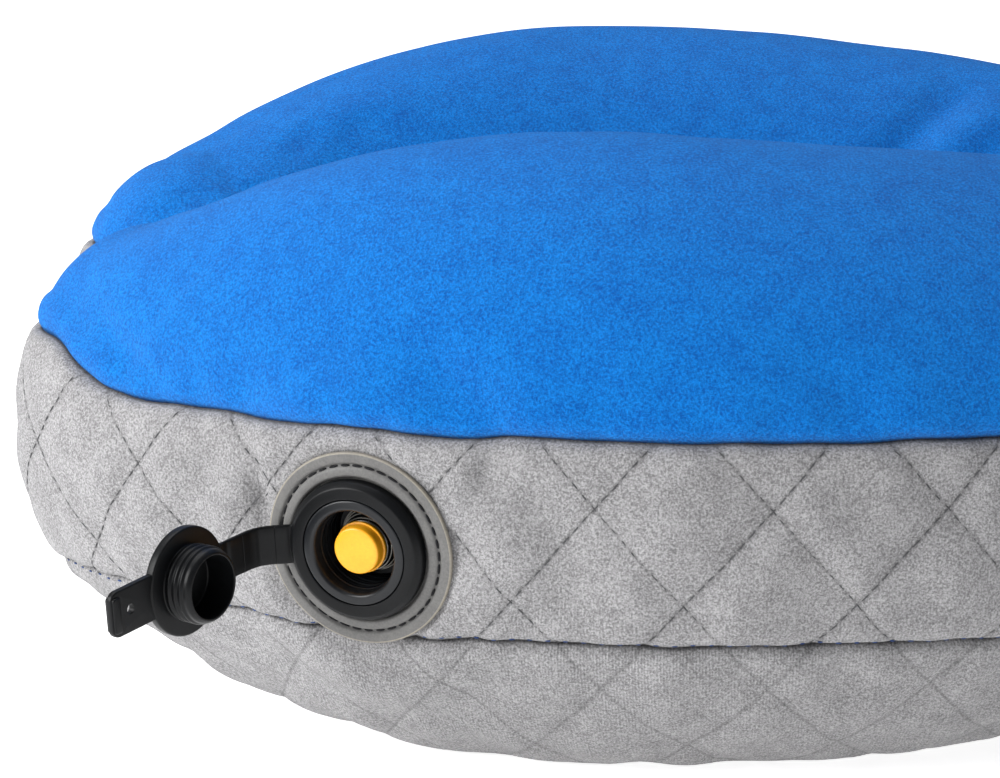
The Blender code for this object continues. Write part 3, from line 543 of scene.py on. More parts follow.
def finish(name, low, high, grain, roughness, relief, speck=None, sheen=0.0, metallic=0.0, shine=0.5,
           patchy=0.3):
    """A procedural finish. grain and relief are metres: how wide its mottling is, and how deep its bump."""
    made = bpy.data.materials.new(name)
    made.use_nodes = True
    tree = made.node_tree
    shader = tree.nodes["Principled BSDF"]
    place = node(tree, "ShaderNodeTexCoord").outputs["Object"]
    fine_noise = node(tree, "ShaderNodeTexNoise", {"Vector": place}, Scale=1 / grain, Detail=4.0,
                      Roughness=0.75)
    broad_noise = node(tree, "ShaderNodeTexNoise", {"Vector": place}, Scale=1 / (11 * grain), Detail=2.0)
    both = node(tree, "ShaderNodeMix", {2: fine_noise, 3: broad_noise}, _0=patchy)
    spread = node(tree, "ShaderNodeMapRange", {"Value": both}, _1=0.4, _2=0.6)
    colour = node(tree, "ShaderNodeMix", {0: spread}, data_type="RGBA", _6=tone(low), _7=tone(high))
    last = colour.outputs[2]
    if speck:
        dots = node(tree, "ShaderNodeTexNoise", {"Vector": place}, Scale=1 / (0.6 * grain), Detail=1.0)
        chosen = node(tree, "ShaderNodeMapRange", {"Value": dots}, _1=0.62, _2=0.72, _4=0.7)
        specked = node(tree, "ShaderNodeMix", {0: chosen, 6: last}, data_type="RGBA", _7=tone(speck))
        last = specked.outputs[2]
    tree.links.new(last, shader.inputs["Base Color"])
    relief_node = node(tree, "ShaderNodeBump", {"Height": fine_noise}, Distance=relief)
    tree.links.new(relief_node.outputs[0], shader.inputs["Normal"])
    for socket, value in {"Roughness": roughness, "Metallic": metallic, "Specular IOR Level": shine,
                          "Sheen Weight": sheen, "Sheen Roughness": 0.5}.items():
        shader.inputs[socket].default_value = value
    return made


# Blue polyester, knitted and then brushed to a short pile: it is dull, a little lighter where it is
# seen along its surface, and mottled in grains of about a millimetre.
brushed_pile = finish("brushed_polyester_pile", "0058b0", "0a88e4", 0.5 * MM, 0.95, 0.7 * MM, "004a9c",
                      sheen=0.1, shine=0.03, patchy=0.12)
# Grey mottled polyester knit, bonded to wadding: it is dull and speckled. Painted shade darkens its
# quilting lines into thin dark dents. The ribs of its knit are drawn about twice as coarse as they are, so
# that they show.
quilted_knit = finish("quilted_melange_knit", "6f6e6f", "adacad", 0.45 * MM, 0.92, 0.3 * MM, "666665",
                      sheen=0.08, shine=0.12, patchy=0.12)
knit_tree = quilted_knit.node_tree
RIB_PITCH = 0.62 * MM
RIB_DEPTH = 0.035 * MM
DENT_SHADE_HALF = 0.7 * MM
DENT_SHADE_TONE = 0.74
flat_map = node(knit_tree, "ShaderNodeUVMap", uv_map="cloth")
cloth_round, cloth_up, _ = node(knit_tree, "ShaderNodeSeparateXYZ", {0: flat_map}).outputs
line_shares = []
for way in (1, -1):
    offset = -(QUILT_SIDEWAYS / QUILT_WIDE + way * QUILT_UPWARDS / QUILT_HIGH)
    across = node(knit_tree, "ShaderNodeMath", {0: cloth_round}, operation="MULTIPLY_ADD",
                  _1=1 / QUILT_WIDE, _2=offset)
    phase = node(knit_tree, "ShaderNodeMath", {0: cloth_up, 2: across}, operation="MULTIPLY_ADD",
                 _1=way / QUILT_HIGH)
    line_shares.append(node(knit_tree, "ShaderNodeMath", {0: phase}, operation="PINGPONG", _1=0.5))
nearest_line = node(knit_tree, "ShaderNodeMath", dict(enumerate(line_shares)), operation="MINIMUM")
# Painted shade: along each quilting line the knit's colour is darkened, as if shade lay in the dent.
dent_shade = node(knit_tree, "ShaderNodeMapRange", {"Value": nearest_line},
            interpolation_type="SMOOTHSTEP", _1=0.0, _2=DENT_SHADE_HALF * SLOPE, _3=DENT_SHADE_TONE, _4=1.0)
paint_shade(knit_tree, dent_shade)
# The brushed band hides most of the ribs; the bottom panel shows them.
rib_turn = node(knit_tree, "ShaderNodeMath", {0: cloth_round}, operation="MULTIPLY",
                _1=2 * math.pi / RIB_PITCH)
rib = node(knit_tree, "ShaderNodeMath", {0: rib_turn}, operation="SINE")
bare = node(knit_tree, "ShaderNodeMapRange", {"Value": cloth_up}, _1=10 * MM, _2=-4 * MM, _3=0.2, _4=1.0)
shown = node(knit_tree, "ShaderNodeMath", {0: rib, 1: bare}, operation="MULTIPLY")
knit_relief = knit_tree.nodes["Principled BSDF"].inputs["Normal"]
rib_bump = node(knit_tree, "ShaderNodeBump", {"Height": shown, "Normal": knit_relief.links[0].from_socket},
                Distance=RIB_DEPTH)
knit_tree.links.new(rib_bump.outputs[0], knit_relief)

# The crease of a seam is in deep shade, down between the two rolled edges.
for fabric in (brushed_pile, quilted_knit):
    tree = fabric.node_tree
    seam_map = node(tree, "ShaderNodeUVMap", uv_map="seams")
    from_seams = node(tree, "ShaderNodeSeparateXYZ", {0: seam_map}).outputs
    offs = {axis: node(tree, "ShaderNodeMath", {0: from_seams[axis]}, operation="ABSOLUTE")
            for axis in (0, 1)}
    nearest = node(tree, "ShaderNodeMath", offs, operation="MINIMUM")
    shade = node(tree, "ShaderNodeMapRange", {"Value": nearest}, _1=0.1 * MM, _2=0.6 * MM, _3=0.4)
    paint_shade(tree, shade)

HEM = 1.8 * MM
NECK_HOLE = 11.5 * MM  # the valve's barrel passes through the band
over_hole = (beside_radius[quads].mean(1) < NECK_HOLE) & at_valve[quads].all(1)


def sewn_panel(name, index, material, nodes):
    """The skin's faces of this panel, with a hem turned in along every edge."""
    here = (panel_of == index) & ~over_hole
    used, corners = np.unique(quads[here], return_inverse=True)
    mesh = bpy.data.meshes.new(name)
    mesh.from_pydata(points[used].tolist(), [], corners.reshape(-1, 4).tolist())
    for map_name, values in corner_maps.items():
        layer = mesh.uv_layers.new(name=map_name)
        layer.data.foreach_set("uv", values[np.repeat(here, 4)].astype(np.float32).ravel())
    inward_ways = -normals[used]
    shape = bmesh.new()
    shape.from_mesh(mesh)
    shape.verts.ensure_lookup_table()
    rim = [edge for edge in shape.edges if edge.is_boundary]
    rim_places = {tuple(vert.co): vert.index for edge in rim for vert in edge.verts}
    extruded = bmesh.ops.extrude_edge_only(shape, edges=rim)["geom"]
    for vert in [part for part in extruded if isinstance(part, bmesh.types.BMVert)]:
        vert.co += Vector(inward_ways[rim_places[tuple(vert.co)]]) * HEM
    shape.to_mesh(mesh)
    shape.free()
    mesh.materials.append(material)
    mesh.shade_smooth()
    panel = placed(name, mesh)
    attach(panel, "root")
    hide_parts(*nodes)


sewn_panel("top_panel", 0, brushed_pile, ["cover_top_panel"])
sewn_panel("side_band", 1, quilted_knit, ["cover_side_band", "side_band_wadding"])
sewn_panel("bottom_panel", 2, quilted_knit,
           ["cover_bottom_panel", "bottom_panel_wadding"])

# ------------------------------------------------------------------ sewing thread
# Lockstitch in dark polyester thread along the quilting lines and the lower seam: one short round stitch
# every few millimetres, half sunk in the cloth.

# Spun polyester thread is dull and slightly fuzzy: dark grey for the quilting, navy for the seam.
dark_thread = finish("dark_polyester_thread", "38383a", "4e4e50", 0.3 * MM, 0.7, 0.05 * MM)
navy_thread = finish("navy_polyester_thread", "122a55", "1f4079", 0.3 * MM, 0.7, 0.05 * MM)


def stitch_tree(material):
    """Node group that lays stitches along the edges of a mesh."""
    tree = bpy.data.node_groups.new("stitches_" + material.name, "GeometryNodeTree")
    tree.interface.new_socket("Geometry", in_out="OUTPUT", socket_type="NodeSocketGeometry")
    tree.interface.new_socket("Geometry", in_out="INPUT", socket_type="NodeSocketGeometry")
    for name in ("Pitch", "Stitch Length", "Thread Radius"):
        tree.interface.new_socket(name, in_out="INPUT", socket_type="NodeSocketFloat")
    tree.interface.new_socket("Seed", in_out="INPUT", socket_type="NodeSocketInt")
    given = node(tree, "NodeGroupInput").outputs
    curve = node(tree, "GeometryNodeMeshToCurve", {"Mesh": given["Geometry"]})
    spaced = node(tree, "GeometryNodeResampleCurve", {"Curve": curve, "Length": given["Pitch"]},
                  mode="LENGTH")
    ball = node(tree, "GeometryNodeMeshUVSphere", Segments=6, Rings=5, Radius=1.0)
    chance = node(tree, "FunctionNodeRandomValue", {"Seed": given["Seed"]}, data_type="FLOAT", _2=0.88,
                  _3=1.12)
    length = node(tree, "ShaderNodeMath", {0: given["Stitch Length"], 1: chance.outputs[1]},
                  operation="MULTIPLY")
    half_length = node(tree, "ShaderNodeMath", {0: length}, operation="MULTIPLY", _1=0.5)
    radius = given["Thread Radius"]
    size = node(tree, "ShaderNodeCombineXYZ", {0: radius, 1: radius, 2: half_length})
    tangent = node(tree, "GeometryNodeInputTangent")
    along = node(tree, "FunctionNodeAlignRotationToVector", {"Vector": tangent}, axis="Z")
    laid = node(tree, "GeometryNodeInstanceOnPoints",
                {"Points": spaced, "Instance": ball, "Rotation": along, "Scale": size})
    real = node(tree, "GeometryNodeRealizeInstances", {0: laid})
    painted = node(tree, "GeometryNodeSetMaterial", {"Geometry": real}, Material=material)
    node(tree, "NodeGroupOutput", {0: painted})
    return tree


def sew(name, paths, tree, pitch, length, radius):
    """Stitches along paths, each a list of points in the shared frame."""
    where = []
    edges = []
    for path in paths:
        edges += [(place, place + 1) for place in range(len(where), len(where) + len(path) - 1)]
        where += [tuple(point) for point in path]
    guide = bpy.data.meshes.new(name + "_guide")
    guide.from_pydata(where, edges, [])
    made = placed(name, guide)
    sewing = made.modifiers.new("stitches", "NODES")
    sewing.node_group = tree
    wanted = {"Pitch": pitch, "Stitch Length": length, "Thread Radius": radius, "Seed": 1}
    for socket in tree.interface.items_tree:
        if socket.in_out == "INPUT" and socket.name in wanted:
            sewing[socket.identifier] = wanted[socket.name]
    mesh = bpy.data.meshes.new_from_object(made.evaluated_get(bpy.context.evaluated_depsgraph_get()))
    made.modifiers.remove(sewing)
    made.data = mesh
    mesh.shade_smooth()
    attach(made, "root")


FLANGE_CLEAR = 0.6 * MM
TABLE_CLEAR = 4.0 * MM
THREAD_PROUD = 0.02 * MM


def paths_on_skin(flat_paths):
    """Paths on the skin from paths on the flat cloth, broken where the flange or the table hides them."""
    paths = []
    for flat in flat_paths:
        path = []
        for where in flat:
            place, normal = on_skin(*where)
            off = VALVE_AXES @ np.array(place - VALVE_AT)
            at_flange = math.hypot(off[0], off[1]) < FLANGE_RADIUS + FLANGE_CLEAR and abs(off[2]) < 20 * MM
            if place.z < TABLE_CLEAR or at_flange:
                if len(path) > 2:
                    paths.append(path)
                path = []
            else:
                path.append(place + normal * THREAD_PROUD)
        if len(path) > 2:
            paths.append(path)
    return paths


QUILT_STEP = 1.5 * MM
QUILT_TO = 0.0  # the bottom panel's quilting is only pressed in
QUILT_END = 1.0 * MM  # and the band's stops this far below the upper seam
SEAM_STEP = 2.0 * MM
levels = np.arange(QUILT_TO, float(band_height.mean()) + QUILT_STEP, QUILT_STEP)
quilt_lines = []
for way in (1, -1):
    for count in range(QUILT_COUNT):
        sideways = QUILT_SIDEWAYS + QUILT_WIDE * (count - way * (levels - QUILT_UPWARDS) / QUILT_HIGH)
        wrapped = (sideways - around[0]) % SEAM_LOOP + around[0]
        tops = np.interp(wrapped, around[:-1], band_height) - QUILT_END
        quilt_lines.append([(a, b) for a, b, top in zip(wrapped, levels, tops) if b < top])
sew("quilting_thread", paths_on_skin(quilt_lines), stitch_tree(dark_thread), 2.8 * MM, 1.9 * MM,
    0.13 * MM)
lower_line = [[(turn, 0.0) for turn in np.arange(around[0], around[-1], SEAM_STEP)]]
sew("lower_seam_thread", paths_on_skin(lower_line), stitch_tree(navy_thread), 3.4 * MM, 1.1 * MM,
    0.2 * MM)

# ------------------------------------------------------------------ the air valve
# A thick TPU disc welded and sewn to the band, a black nylon barrel through it, and the soft ring of
# the cap's tether clipped round the barrel. All of it is moulded, so each piece is turned in one.

VALVE = Matrix((VALVE_X, VALVE_Y, VALVE_Z)).transposed().to_4x4()
VALVE.translation = VALVE_AT


def corner_curve(first, corner, last, steps):
    """Points on the curve from first to last that bends as the corner between them does."""
    return [first * (1 - share) ** 2 + corner * (2 * share * (1 - share)) + last * share ** 2
            for share in np.linspace(0, 1, steps + 1)]


def rounded(outline, radius, steps=3, closed=True):
    """The outline with every corner rounded, by up to radius."""
    made = []
    count = len(outline)
    for place, corner in enumerate(outline):
        if not closed and place in (0, count - 1):
            made.append(tuple(corner))
            continue
        here = Vector(corner)
        before = Vector(outline[place - 1]) - here
        after = Vector(outline[(place + 1) % count]) - here
        cut = min(radius, 0.45 * before.length, 0.45 * after.length)
        first = here + before.normalized() * cut
        last = here + after.normalized() * cut
        made += [tuple(point) for point in corner_curve(first, here, last, steps)]
    return made


def closed_object(name, vertices, polygons, place, materials):
    """A closed mesh in the shared frame, its faces outward."""
    mesh = bpy.data.meshes.new(name)
    mesh.from_pydata([place @ Vector(vertex) for vertex in vertices], [], polygons)
    for material in materials:
        mesh.materials.append(material)
    shape = bmesh.new()
    shape.from_mesh(mesh)
    bmesh.ops.remove_doubles(shape, verts=shape.verts, dist=1e-7)
    bmesh.ops.recalc_face_normals(shape, faces=shape.faces)
    shape.to_mesh(mesh)
    shape.free()
    mesh.shade_smooth()
    return placed(name, mesh)


def swept(name, rings, place, material):
    """A closed bar through these rings, which have the same number of points."""
    count = len(rings[0])
    vertices = [point for ring in rings for point in ring]
    last = len(vertices) - count
    polygons = [list(range(count)), list(range(last, len(vertices)))]
    for start in range(0, last, count):
        for here, beyond in zip(range(count), [*range(1, count), 0]):
            polygons.append((start + count + here, start + count + beyond, start + beyond, start + here))
    return closed_object(name, vertices, polygons, place, [material])


def turned(name, outline, place, materials, steps=96, second=None):
    """An outline of (radius, height) turned round place's Z axis. second picks faces of another material."""
    vertices = []
    polygons = []
    count = len(outline)
    for step in range(steps):
        angle = 2 * math.pi * step / steps
        vertices += [(r * math.cos(angle), r * math.sin(angle), h) for r, h in outline]
        ahead = (step + 1) % steps
        for low in range(count):
            high = (low + 1) % count
            ring = [step * count + low, ahead * count + low, ahead * count + high, step * count + high]
            if outline[low][0] == 0.0 and outline[high][0] == 0.0:
                continue
            polygons.append(ring)
    made = closed_object(name, vertices, polygons, place, materials)
    if second:
        back = place.inverted()
        for face in made.data.polygons:
            spot = back @ face.center
            face.material_index = int(second(math.hypot(spot.x, spot.y), spot.z))
    return made


def fitted(made, body, nodes):
    """Fix a piece to its body, and let it stand for its CAD nodes."""
    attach(made, body)
    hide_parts(*nodes)


NECK_RADIUS = 10.4 * MM
BORE_RADIUS = 8.2 * MM
RIM_HIGH = 4.1 * MM
RING_RADIUS = 13.8 * MM
RING_HIGH = 4.0 * MM
STITCH_RADIUS = FLANGE_RADIUS - 2.6 * MM
FLANGE_LOW = 0.3 * MM
EDGE_DEPTH = 0.32 * MM  # how far in the lighter cut edge reaches
# TPU sheet is moulded with a fine matt grain; its trimmed edge is a shade lighter and browner.
grey_tpu = finish("moulded_grey_tpu", "5c5b5a", "6a6967", 0.5 * MM, 0.5, 0.05 * MM, shine=0.35)
tpu_edge = finish("trimmed_tpu_edge", "7d786e", "8d877b", 0.5 * MM, 0.6, 0.03 * MM)
# Glass-filled nylon is moulded in a polished tool: black, with a soft gloss and clear highlights. The
# soft TPU of the ring, strap and cap is matter and a little blacker.
black_nylon = finish("moulded_black_nylon", "101215", "16181b", 0.4 * MM, 0.32, 0.012 * MM, shine=0.3)
black_tpu = finish("moulded_black_tpu", "090a0b", "0e0f11", 0.4 * MM, 0.4, 0.015 * MM, shine=0.16)
flange = turned("valve_flange_disc", rounded([
    (NECK_RADIUS + 0.5 * MM, FLANGE_LOW), (FLANGE_RADIUS, FLANGE_LOW), (FLANGE_RADIUS, 1.25 * MM),
    (STITCH_RADIUS + 0.6 * MM, 1.42 * MM), (STITCH_RADIUS + 0.1 * MM, 0.75 * MM),
    (STITCH_RADIUS - 0.4 * MM, 1.45 * MM), (RING_RADIUS + 0.8 * MM, 1.7 * MM),
    (RING_RADIUS + 0.35 * MM, 1.3 * MM), (RING_RADIUS + 0.35 * MM, 0.6 * MM),
    (NECK_RADIUS + 0.5 * MM, 0.6 * MM)], 0.35 * MM), VALVE, [grey_tpu, tpu_edge], 128,
    second=lambda radius, height: radius > FLANGE_RADIUS - EDGE_DEPTH)
fitted(flange, "root", ["valve_flange"])
THREAD_HIGH = 1.05 * MM
stitch_ring = [VALVE @ Vector((STITCH_RADIUS * math.cos(turn), STITCH_RADIUS * math.sin(turn), THREAD_HIGH))
               for turn in np.linspace(0, 2 * math.pi, 241)]
# Bonded polyester thread, black and nearly without shine, lies in the disc's moulded groove.
black_thread = finish("black_polyester_thread", "0f0f11", "1c1c1f", 0.3 * MM, 0.7, 0.05 * MM, shine=0.2)
sew("flange_thread", [stitch_ring], stitch_tree(black_thread), 2.5 * MM, 2.1 * MM, 0.27 * MM)
FOOT_RADIUS = 13.6 * MM
FOOT_TOP = -5.2 * MM
FOOT_LOW = -6.5 * MM
SEAT_RADIUS = 6.2 * MM
SEAT_TOP = -7.1 * MM
SEAT_LOW = -9.1 * MM
RIB_STANDS = 0.25 * MM  # each small ring in the bore stands in this far
RIB_HALF = 0.35 * MM
bore_rings = []
for low in (-5.5 * MM, -3.5 * MM, -1.5 * MM, 0.5 * MM):
    bore_rings += [(BORE_RADIUS, low), (BORE_RADIUS - RIB_STANDS, low + RIB_HALF),
                   (BORE_RADIUS, low + 2 * RIB_HALF)]
fitted(turned("valve_barrel", rounded([
    (BORE_RADIUS + 0.5 * MM, RIM_HIGH), (NECK_RADIUS, RIM_HIGH - 0.1 * MM), (NECK_RADIUS, FOOT_TOP),
    (FOOT_RADIUS, FOOT_TOP), (FOOT_RADIUS, FOOT_LOW), (NECK_RADIUS, FOOT_LOW), (9.0 * MM, SEAT_LOW),
    (SEAT_RADIUS, SEAT_LOW), (SEAT_RADIUS, SEAT_TOP), (BORE_RADIUS, SEAT_TOP), *bore_rings,
    (BORE_RADIUS, RIM_HIGH - 0.6 * MM)], 0.4 * MM), VALVE, [black_nylon], 128),
    "root", ["valve_housing"])
RING_LOW = 0.9 * MM
RING_BORE = NECK_RADIUS + 0.12 * MM
fitted(turned("tether_clip_ring", rounded([
    (RING_BORE, RING_LOW), (RING_RADIUS, RING_LOW), (RING_RADIUS, RING_HIGH - 1.2 * MM),
    (RING_RADIUS - 1.0 * MM, RING_HIGH), (RING_BORE, RING_HIGH)], 0.3 * MM), VALVE, [black_tpu], 128),
    "root", ["tether_ring"])

# ------------------------------------------------------------------ button and spring
# Press the yellow acetal button and the seal below it opens. A cone of thin steel wire pushes it back.

BUTTON_RADIUS = 4.65 * MM
BUTTON_HIGH = 2.9 * MM
SKIRT_RADIUS = 5.05 * MM
SKIRT_HIGH = 0.6 * MM
SKIRT_LOW = -0.3 * MM
STEM_RADIUS = 1.7 * MM
BARB_RADIUS = 2.6 * MM
BARB_HIGH = -11.9 * MM
BARB_LOW = -13.5 * MM
# Acetal moulded in a polished tool: smooth and evenly coloured, with a soft wide highlight.
yellow_acetal = finish("moulded_yellow_acetal", "eaa015", "f4ab1e", 0.6 * MM, 0.38, 0.01 * MM)
fitted(turned("button", rounded([
    (0.0, BUTTON_HIGH - 0.05 * MM), (BUTTON_RADIUS - 1.5 * MM, BUTTON_HIGH),
    (BUTTON_RADIUS - 0.1 * MM, BUTTON_HIGH - 0.15 * MM), (BUTTON_RADIUS, BUTTON_HIGH - 1.0 * MM),
    (BUTTON_RADIUS, SKIRT_HIGH), (SKIRT_RADIUS, SKIRT_HIGH), (SKIRT_RADIUS, SKIRT_LOW),
    (STEM_RADIUS, SKIRT_LOW), (STEM_RADIUS, BARB_HIGH), (BARB_RADIUS, BARB_HIGH),
    (BARB_RADIUS / 2, BARB_LOW), (0.0, BARB_LOW)], 0.5 * MM, closed=False), VALVE, [yellow_acetal], 96),
    "button", ["deflate_button"])
# Spring steel, drawn to wire through a die: bright metal, with long sharp glints along each turn.
spring_steel = finish("drawn_spring_steel", "8f8c86", "a8a59e", 0.3 * MM, 0.3, 0.005 * MM, metallic=1.0)
SPRING_TURNS = 4.5
WIRE_RADIUS = 0.16 * MM
SPRING_LOW = -4.75 * MM
SPRING_HIGH = -0.85 * MM
COIL_WIDE = 6.6 * MM
COIL_TAPER = 1.95 * MM
FLAT_TURNS = 0.08  # the share of the wire that lies flat at each end
WIRE_STEPS = 48
WIRE_SIDES = 10
up = Vector((0.0, 0.0, 1.0))
wire_leans = [2 * math.pi * side / WIRE_SIDES for side in range(WIRE_SIDES)]
wire_rings = []
for share in np.linspace(0, 1, int(SPRING_TURNS * WIRE_STEPS) + 1):
    climbed = eased((share - FLAT_TURNS) / (1.0 - 2 * FLAT_TURNS))
    turn = 2 * math.pi * SPRING_TURNS * share
    away = Vector((math.cos(turn), math.sin(turn), 0.0))
    high = SPRING_LOW + (SPRING_HIGH - SPRING_LOW) * climbed
    middle = away * (COIL_WIDE - COIL_TAPER * share) + up * high
    wire_rings.append([middle + (away * math.cos(lean) + up * math.sin(lean)) * WIRE_RADIUS
                       for lean in wire_leans])
spring = swept("cone_spring", wire_rings, VALVE, spring_steel)
fitted(spring, "root", ["return_spring"])
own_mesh(spring)

# ------------------------------------------------------------------ tether and cap
# One moulding in soft black TPU: the ring, a flat strap creased where it bends, and the cap with its
# ribbed plug and pull tab. The strap is three lengths here, each bent at one hinge.

STRAP_HALF_WIDTH = 3.9 * MM
STRAP_HALF = 0.5 * MM
hinge_places = [VALVE.inverted() @ Vector(joints[name]["pos_m"])
                for name in ("tether_root", "tether_fold", "cap_hinge")]
root_at, fold_at, cap_at = [Vector((place.x, place.z)) for place in hinge_places]
CAP_LEAN = math.radians(78.0)
cap_way = Vector((-math.cos(CAP_LEAN), math.sin(CAP_LEAN)))
CAP_RADIUS = 10.4 * MM
CAP_REACH = CAP_RADIUS + 1.5 * MM
strap_corners = [root_at + Vector((2.2 * MM, 0.0)), root_at, fold_at, cap_at, cap_at + cap_way * 2.6 * MM]
centre_line = [strap_corners[0]]
for before, corner, after, bend in zip(strap_corners, strap_corners[1:], strap_corners[2:], (0.9, 3.0, 1.5)):
    first = corner + (before - corner).normalized() * bend * MM
    last = corner + (after - corner).normalized() * bend * MM
    centre_line += corner_curve(first, corner, last, 12)
centre_line.append(strap_corners[-1])
line_points = np.array([tuple(point) for point in centre_line])
line_length = np.concatenate([[0.0], np.cumsum(np.linalg.norm(np.diff(line_points, axis=0), axis=1))])


def line_at(distance):
    """The place on the strap's middle line, this far along it."""
    return np.array([np.interp(distance, line_length, line_points[:, axis]) for axis in (0, 1)])


near_fold = [float(line_length[np.argmin(np.linalg.norm(line_points - np.array(place), axis=1))])
             for place in (root_at, fold_at, cap_at)]
halfway = [(near_fold[0] + near_fold[1]) / 2, (near_fold[1] + near_fold[2]) / 2]
strap_ends = [0.0, *halfway, line_length[-1]]
# The strap's section: a flat side, a rounded edge, and both again turned half round.
half_section = [(-STRAP_HALF_WIDTH + 0.4 * MM, -1.0), (-0.5 * STRAP_HALF_WIDTH, -1.0), (0.0, -1.0),
                (0.5 * STRAP_HALF_WIDTH, -1.0), (STRAP_HALF_WIDTH - 0.4 * MM, -1.0),
                (STRAP_HALF_WIDTH - 0.1 * MM, -0.7), (STRAP_HALF_WIDTH, 0.0),
                (STRAP_HALF_WIDTH - 0.1 * MM, 0.7)]
section = half_section + [(-across, -side) for across, side in half_section]
THINNED = (0.5, 0.25, 0.4)  # how much thinner the strap is at each hinge
THINNED_OVER = 0.7 * MM
STRAP_STEPS = 40
SMALL = 0.05 * MM
for index, (name, first_body, second_body, nodes) in enumerate((
        ("strap_at_ring", "root", "tether_inner", ["tether_inner_length"]),
        ("strap_middle", "tether_inner", "tether_outer", ["tether_outer_length"]),
        ("strap_at_cap", "tether_outer", "cap", []))):
    rings = []
    for distance in np.linspace(strap_ends[index], strap_ends[index + 1], STRAP_STEPS + 1):
        way = line_at(min(distance + SMALL, line_length[-1])) - line_at(max(distance - SMALL, 0.0))
        way = way / np.linalg.norm(way)
        thin = max(share * math.exp(-((distance - at) / THINNED_OVER) ** 2)
                   for share, at in zip(THINNED, near_fold))
        x, z = line_at(distance)
        half = STRAP_HALF * (1.0 - thin)
        rings.append([(x - way[1] * side * half, across, z + way[0] * side * half)
                      for across, side in section])
    strap = swept(name, rings, VALVE, black_tpu)
    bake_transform(strap)
    if nodes:
        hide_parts(*nodes)

cap_normal = Vector((-math.sin(CAP_LEAN), 0.0, -math.cos(CAP_LEAN)))
cap_frame = Matrix(((cap_way.x, 0.0, cap_way.y), (0.0, 1.0, 0.0), tuple(cap_normal))).transposed().to_4x4()
cap_middle = cap_at + cap_way * CAP_REACH
cap_frame.translation = (cap_middle.x, 0.0, cap_middle.y)
cap_frame = VALVE @ cap_frame
HALF_DISC = 0.95 * MM
PLUG_RADIUS = 7.0 * MM
PLUG_BORE = 5.95 * MM
PLUG_LOW = -HALF_DISC - 6.0 * MM
BARB_OUT = PLUG_RADIUS + 0.4 * MM
plug = [(PLUG_RADIUS, -HALF_DISC)]
for depth in (1.2 * MM, 2.6 * MM, 4.0 * MM):
    base = -HALF_DISC - depth
    plug += [(PLUG_RADIUS, base + 0.55 * MM), (BARB_OUT, base + 0.2 * MM), (BARB_OUT, base - 0.2 * MM),
             (PLUG_RADIUS, base - 0.55 * MM)]
cap = turned("cap_disc", rounded([
    (0.0, HALF_DISC - 0.3 * MM), (CAP_RADIUS - 2.6 * MM, HALF_DISC - 0.3 * MM),
    (CAP_RADIUS - 2.1 * MM, HALF_DISC), (CAP_RADIUS, HALF_DISC), (CAP_RADIUS, -HALF_DISC), *plug,
    (PLUG_RADIUS, PLUG_LOW + 0.7 * MM), (PLUG_RADIUS - 0.6 * MM, PLUG_LOW), (PLUG_BORE, PLUG_LOW),
    (PLUG_BORE, -HALF_DISC + 0.4 * MM),
    (0.0, -HALF_DISC + 0.4 * MM)], 0.4 * MM, closed=False), cap_frame, [black_tpu], 96)
TAB_REACH = 21.0 * MM
TAB_HALF_WIDTH = 4.45 * MM
HOLE_RADIUS = 1.0 * MM
HOLE_BACK = 5.2 * MM  # from the tab's end


def slab(name, near, far, half_width, half_thick, corner, place):
    """A flat plate with round corners at its far end and softened edges."""
    outline = [(near, -half_width)]
    for turn in np.linspace(-math.pi / 2, math.pi / 2, 19):
        side = -1 if turn < 0 else 1
        outline.append((far - corner + corner * math.cos(turn),
                        side * (half_width - corner) + corner * math.sin(turn)))
    outline.append((near, half_width))
    mesh = bpy.data.meshes.new(name)
    count = len(outline)
    mesh.from_pydata([(x, y, z) for z in (-half_thick, half_thick) for x, y in outline], [],
                     [list(range(count))[::-1], list(range(count, 2 * count))]
                     + [(i, (i + 1) % count, (i + 1) % count + count, i + count) for i in range(count)])
    made = placed(name, mesh)
    mesh.transform(place)
    soft_edge = made.modifiers.new("soft_edge", "BEVEL")
    soft_edge.width = 0.3 * MM
    soft_edge.segments = 3
    return made


tab = slab("tab", CAP_RADIUS - 2.4 * MM, TAB_REACH, TAB_HALF_WIDTH, 0.65 * MM, 2.0 * MM, cap_frame)
tab_rib = slab("tab_rib", TAB_REACH - 2.2 * MM, TAB_REACH - 0.3 * MM, TAB_HALF_WIDTH - 1.0 * MM, 1.15 * MM,
               0.7 * MM, cap_frame)
pin = turned("tab_hole", [(0.0, -2 * MM), (HOLE_RADIUS, -2 * MM), (HOLE_RADIUS, 2 * MM), (0.0, 2 * MM)],
             cap_frame @ Matrix.Translation((TAB_REACH - HOLE_BACK, 0, 0)), [black_tpu], 32)
for other, operation in ((tab, "UNION"), (tab_rib, "UNION"), (pin, "DIFFERENCE")):
    step = cap.modifiers.new(operation, "BOOLEAN")
    step.operation = operation
    step.object = other
    step.solver = "EXACT"
whole = bpy.data.meshes.new_from_object(cap.evaluated_get(bpy.context.evaluated_depsgraph_get()))
cap.modifiers.clear()
cap.data = whole
for other in (tab, tab_rib, pin):
    bpy.data.objects.remove(other)
whole.materials.clear()
whole.materials.append(black_tpu)
whole.set_sharp_from_angle(angle=math.radians(35))
fitted(cap, "cap", ["valve_cap"])

# ------------------------------------------------------------------ press studs
# Two halves of a press stud, moulded in black nylon and riveted through the band at the arm tips, so
# that the pillow closes round a neck. Each faces the other and leans with the cloth below it.

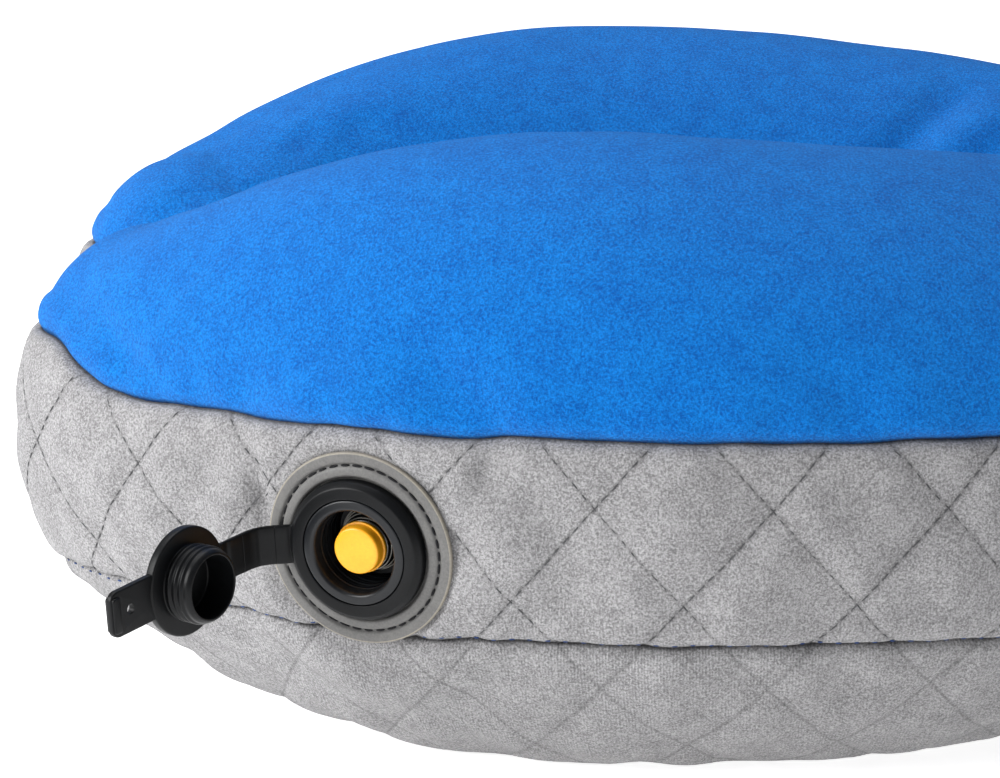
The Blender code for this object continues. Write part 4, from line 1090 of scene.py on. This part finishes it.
STUD_RADIUS = 5.0 * MM
STUD_FACE = 1.8 * MM
STUD_LOW = 0.6 * MM
RIVET_RADIUS = 1.6 * MM
RIVET_END = -3.6 * MM
STUD_PLACES = {"snap_socket": Vector((-144.571, -18.864, 61.7)) * MM,
               "snap_stud": Vector((-144.571, 34.835, 61.7)) * MM}
STUD_WAY = (-0.63326, 0.77072, 0.07053)
STUD_FRONTS = (
    ("snap_socket_face", "snap_socket", 1.0,
     [(0.0, STUD_FACE - 1.0 * MM), (2.2 * MM, STUD_FACE - 1.0 * MM), (2.2 * MM, STUD_FACE)]),
    ("snap_stud_face", "snap_stud", -1.0,
     [(0.0, STUD_FACE + 1.6 * MM), (1.4 * MM, STUD_FACE + 1.6 * MM), (1.9 * MM, STUD_FACE + 1.0 * MM),
      (1.6 * MM, STUD_FACE)]),
)
for name, cad_name, side, front in STUD_FRONTS:
    facing = Vector((STUD_WAY[0], STUD_WAY[1] * side, STUD_WAY[2])).normalized()
    stud_frame = facing.to_track_quat("Z", "Y").to_matrix().to_4x4()
    stud_frame.translation = skin_tree.find_nearest(STUD_PLACES[cad_name])[0]
    fitted(turned(name, rounded([
        *front, (STUD_RADIUS, STUD_FACE), (STUD_RADIUS, STUD_LOW), (RIVET_RADIUS, STUD_LOW),
        (RIVET_RADIUS, RIVET_END), (0.0, RIVET_END)], 0.35 * MM, closed=False), stud_frame, [black_nylon],
        64), "root", [cad_name])

# ------------------------------------------------------------------ pieces inside, kept from the CAD
# The bladder of welded film, the valve's seat, seal and plate, and the studs' washers are out of
# sight, and keep the shape they have in the CAD. They only get the material they are made of.

# TPU film is cast thin and clear: pale, smooth and softly glossy. The seal's silicone is pressed matt.
clear_film = finish("welded_tpu_film", "b9bdbf", "c6cacb", 3.0 * MM, 0.35, 0.02 * MM)
seal_rubber = finish("moulded_silicone_rubber", "17181a", "1f2022", 0.4 * MM, 0.6, 0.01 * MM)
for cad_name, material in (("bladder_upper_film", clear_film), ("bladder_lower_film", clear_film),
                           ("valve_seat_insert", black_nylon), ("seal_backing_plate", black_nylon),
                           ("seal_disc", seal_rubber), ("snap_socket_washer", black_nylon),
                           ("snap_stud_washer", black_nylon)):
    inner = frame["nodes"][cad_name]
    inner.data.materials.clear()
    inner.data.materials.append(material)
